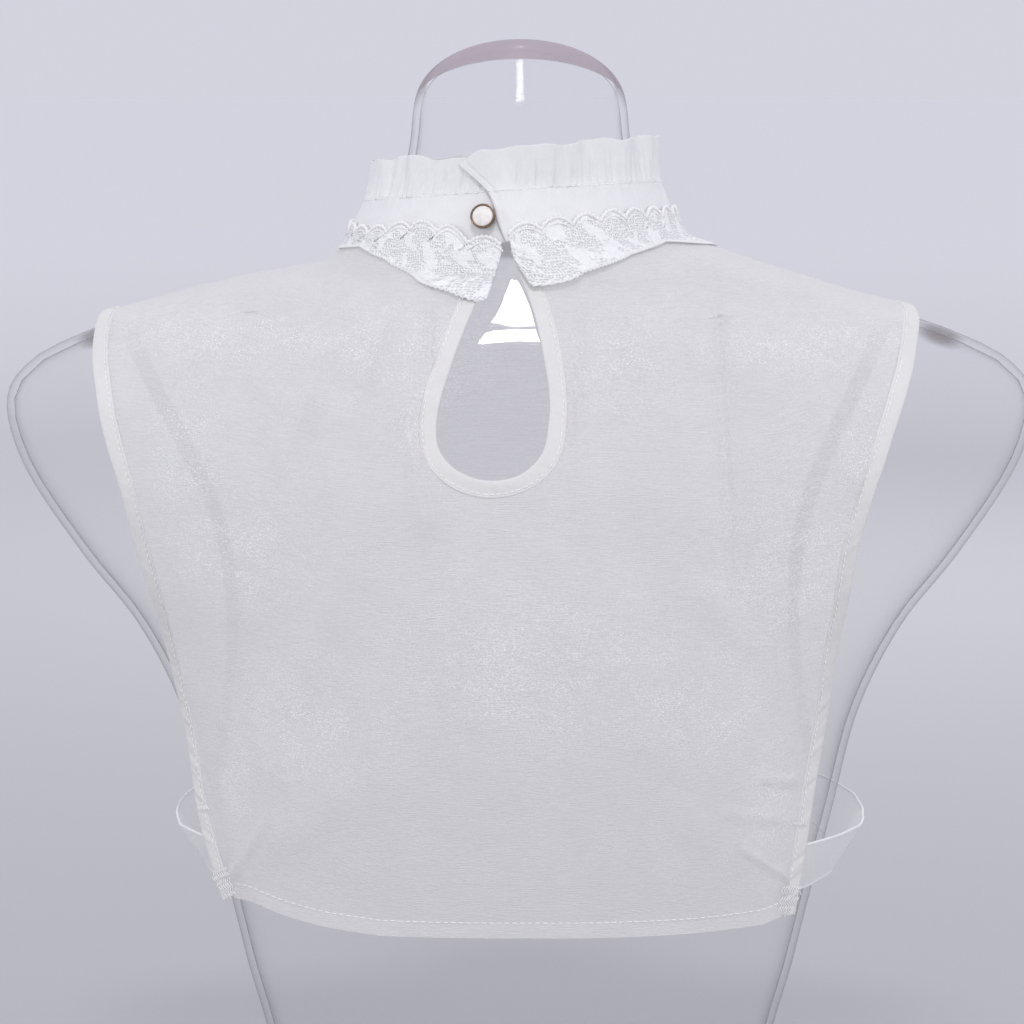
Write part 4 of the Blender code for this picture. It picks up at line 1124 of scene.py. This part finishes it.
cord_thread = Finish("lace_cord_thread", Base_Color=(0.88, 0.875, 0.87, 1), Roughness=0.7)
cord_twist = cord_thread.noise(cord_thread.node("ShaderNodeUVMap", {"uv_map": "flat"}), 2600.0)
cord_thread.bump(cord_twist, 0.6, 0.0003)


def lace_cord(name, row, drop, radius, wobble, pitch, proud):
    """A cord along the lace at one row, thickened and wavy like its picots."""
    mix = np.linspace(0.0008, 0.9992, SCALLOPS * 44)[None]
    turn, height = lace_grid(np.array([[row]]), mix)
    height = height - drop
    beat = np.sin(-np.radians(turn) * 70 * 2 * np.pi / pitch)
    lift = lace_lift(turn, height) + proud
    path = DRAPE.point(turn, height + wobble * beat)
    path = path + DRAPE.normal(turn, height) * lift[..., None]
    made = cord_piece(name, path[0], radius * (1 + 0.25 * beat[0]), cord_thread)


lace_cord("lace_scallop_cord", 1.0, 0.0, 0.72, 0.12, 1.7, 0.5)
lace_cord("lace_inner_cord", 1.0, 1.9, 0.34, 0.0, 1.3, 0.55)
lace_cord("lace_foot_cord", 0.0, 0.1, 0.36, 0.3, 1.8, 0.35)

# The button: a shank button with a thin polished metal rim round a pearly face that rises
# to a low point. It sits on the left end of the band beside the slanting edge.
BUTTON_ACROSS, BUTTON_HEIGHT = -13.9, 432.3


def turned_piece(name, profile, place, axis, finish, sides=72):
    """A shape of revolution from (radius, height) pairs that start and end on its axis."""
    side = unit(np.cross(axis, (0, 0, 1.0)))
    other = np.cross(axis, side)
    turns = np.linspace(0, 2 * np.pi, sides, endpoint=False)
    spokes = np.cos(turns)[:, None] * side + np.sin(turns)[:, None] * other
    profile = np.array(profile, float)
    points = place + profile[:, 1, None, None] * axis + profile[:, :1, None] * spokes
    flat = profile[:, :1, None] * np.stack([np.cos(turns), np.sin(turns)], -1)
    return closed_tube(name, points, flat, finish)


button_angle = -DRAPE.angle_at(BUTTON_ACROSS, BUTTON_HEIGHT)
button_axis = DRAPE.normal(button_angle, BUTTON_HEIGHT)
button_place = DRAPE.point(button_angle, BUTTON_HEIGHT) + button_axis * 3.1
gold = Finish("button_gold", Base_Color=(0.30, 0.20, 0.13, 1), Metallic=1.0, Roughness=0.22)
brushed = gold.noise(gold.node("ShaderNodeTexCoord", {}, out="Object"), 900.0, 2.0, sides="3D")
gold.vary("Roughness", brushed * 0.25 + 0.12)
round_rim = [
    (4.5 + 0.34 * np.cos(t), 2.3 + 0.34 * np.sin(t)) for t in np.linspace(-0.6, 3.6, 16)
]
rim_profile = [(0.02, -1.6), (1.6, -1.6), (1.6, 0), (4.3, 0.02), (4.7, 0.3), (4.84, 0.8)]
rim_profile += round_rim + [(4.2, 1.4), (0.02, 1.3)]
button_rim = turned_piece("button_cup", rim_profile, button_place, button_axis, gold)
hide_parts("button_rim")

pearl = Finish("button_pearl", Base_Color=(0.86, 0.82, 0.77, 1), Roughness=0.16)
pearl.shader.inputs["Coat Weight"].default_value = 0.6
pearl.shader.inputs["Coat Roughness"].default_value = 0.05
cloud = pearl.noise(pearl.node("ShaderNodeUVMap", {"uv_map": "flat"}), 420.0, 3.0)
pearl.vary(
    "Base Color", pearl.blend(cloud.rise(0.35, 0.65), (0.80, 0.76, 0.72, 1), (0.90, 0.87, 0.83, 1))
)
pearl_profile = [(0.02, 1.45), (4.1, 1.45), (4.18, 1.9), (4.05, 2.2), (3.9, 2.3)]
pearl_profile += [(3.9 - 3.6 * k / 8, 2.3 + 1.45 * k / 8) for k in range(1, 9)] + [(0.02, 3.82)]
button_face = turned_piece("button_face", pearl_profile, button_place, button_axis, pearl)
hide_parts("button_pearl")

# The sewing: short lockstitches in white thread along the tapes, the hems and the frill's
# seam, with dense tacking where the tapes end at the bottom corners.
thread = Finish("white_thread", Base_Color=(0.92, 0.92, 0.92, 1), Roughness=0.5)
twist = thread.noise(thread.node("ShaderNodeTexCoord", {}, out="Object"), 4000.0, 2.0, sides="3D")
thread.bump(twist, 0.4, 0.0001)


def stitch_row(name, path, out, pitch=2.6, length=1.9, radius=0.2, tilt=0.0):
    """Spindles with six sides and five rings, one for each stitch, set along a path. Their
    middles stand a little proud, and tilt turns them across the path."""
    path, out, places = evenly(pitch, path, out)
    along = unit(np.gradient(path, axis=0))
    side = unit(np.cross(out, along))
    along = unit(along + tilt * side)
    side = unit(np.cross(out, along))
    along_steps = np.array([-0.5, -0.36, 0.0, 0.36, 0.5]) * length
    sizes = np.array([0.25, 0.9, 1.0, 0.9, 0.25]) * radius
    turns = np.linspace(0, 2 * np.pi, 6, endpoint=False)
    bend = np.array([-0.12, 0.03, 0.1, 0.03, -0.12])
    ring = (
        side[:, None, None] * (np.cos(turns) * sizes[:, None])[None, :, :, None]
        + out[:, None, None] * (np.sin(turns) * sizes[:, None] + bend[:, None])[None, :, :, None]
    )
    points = path[:, None, None] + along[:, None, None] * along_steps[None, :, None, None] + ring
    count = len(path)
    ids = np.arange(count * 30).reshape(count, 5, 6)
    closed = np.concatenate([ids, ids[:, :, :1]], axis=2)
    faces = np.stack([
        closed[:, :-1, :-1], closed[:, :-1, 1:], closed[:, 1:, 1:], closed[:, 1:, :-1]
    ], -1).reshape(-1, 4).tolist()
    faces += ids[:, 0].tolist() + ids[:, -1, ::-1].tolist()
    mesh = bpy.data.meshes.new(name)
    mesh.from_pydata((points.reshape(-1, 3) * 0.001).tolist(), [], faces)
    mesh.materials.append(thread.material)
    mesh.shade_smooth()
    made = bpy.data.objects.new(name, mesh)
    bpy.context.collection.objects.link(made)
    face_out(made)
    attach(made, "root")
    return made


for name, seam in seams.items():
    path, out, off, _ = seam
    stitch_row("tape_stitches_" + name, path + off * 1.35 + out * 1.08, out)
# Each tacking row: its steps along the tape from the bottom corner, and how far it
# reaches over the tape in millimetres.
TACKING = [(2, 2), (4, 3), (6, 4), (8, 5), (11, 6), (13, 5), (42, 3)]
for side in ("left", "right"):
    path, out, off, _ = seams[side]
    for row, (start, width) in enumerate(TACKING):
        ladder = np.linspace(-2.2, width + 1, 12)[:, None]
        place = path[-1 - start] + off[-1 - start] * ladder + out[-1 - start] * 1.6
        facing = np.repeat(out[-1 - start][None], len(ladder), 0)
        lean = 1.3 if row % 2 else -1.3
        stitch_row(
            f"tacking_{side}_{row}", place, facing, 1.2, 2.4, 0.19, lean
        )
for name, edges in (("back", back_edges), ("front", front_edges)):
    angle, height = edges["hem"][4:-4].T
    line = DRAPE.point(angle, height + 6.3)
    out = DRAPE.normal(angle, height + 6.3)
    stitch_row("hem_stitches_" + name, line + out * 0.95, out, 3.0, 2.2)
seam_turn = np.linspace(LEFT_END - 8, right_end(442.4) + 1, 700)
seam_height = np.full(700, 442.3)
seam_out = DRAPE.normal(seam_turn, seam_height)
seam_path = DRAPE.point(seam_turn, seam_height) + seam_out * (
    overlap_lift(seam_turn)[:, None] + 1.08
)
stitch_row("frill_stitches", seam_path, seam_out, 2.4, 1.7, 0.18)
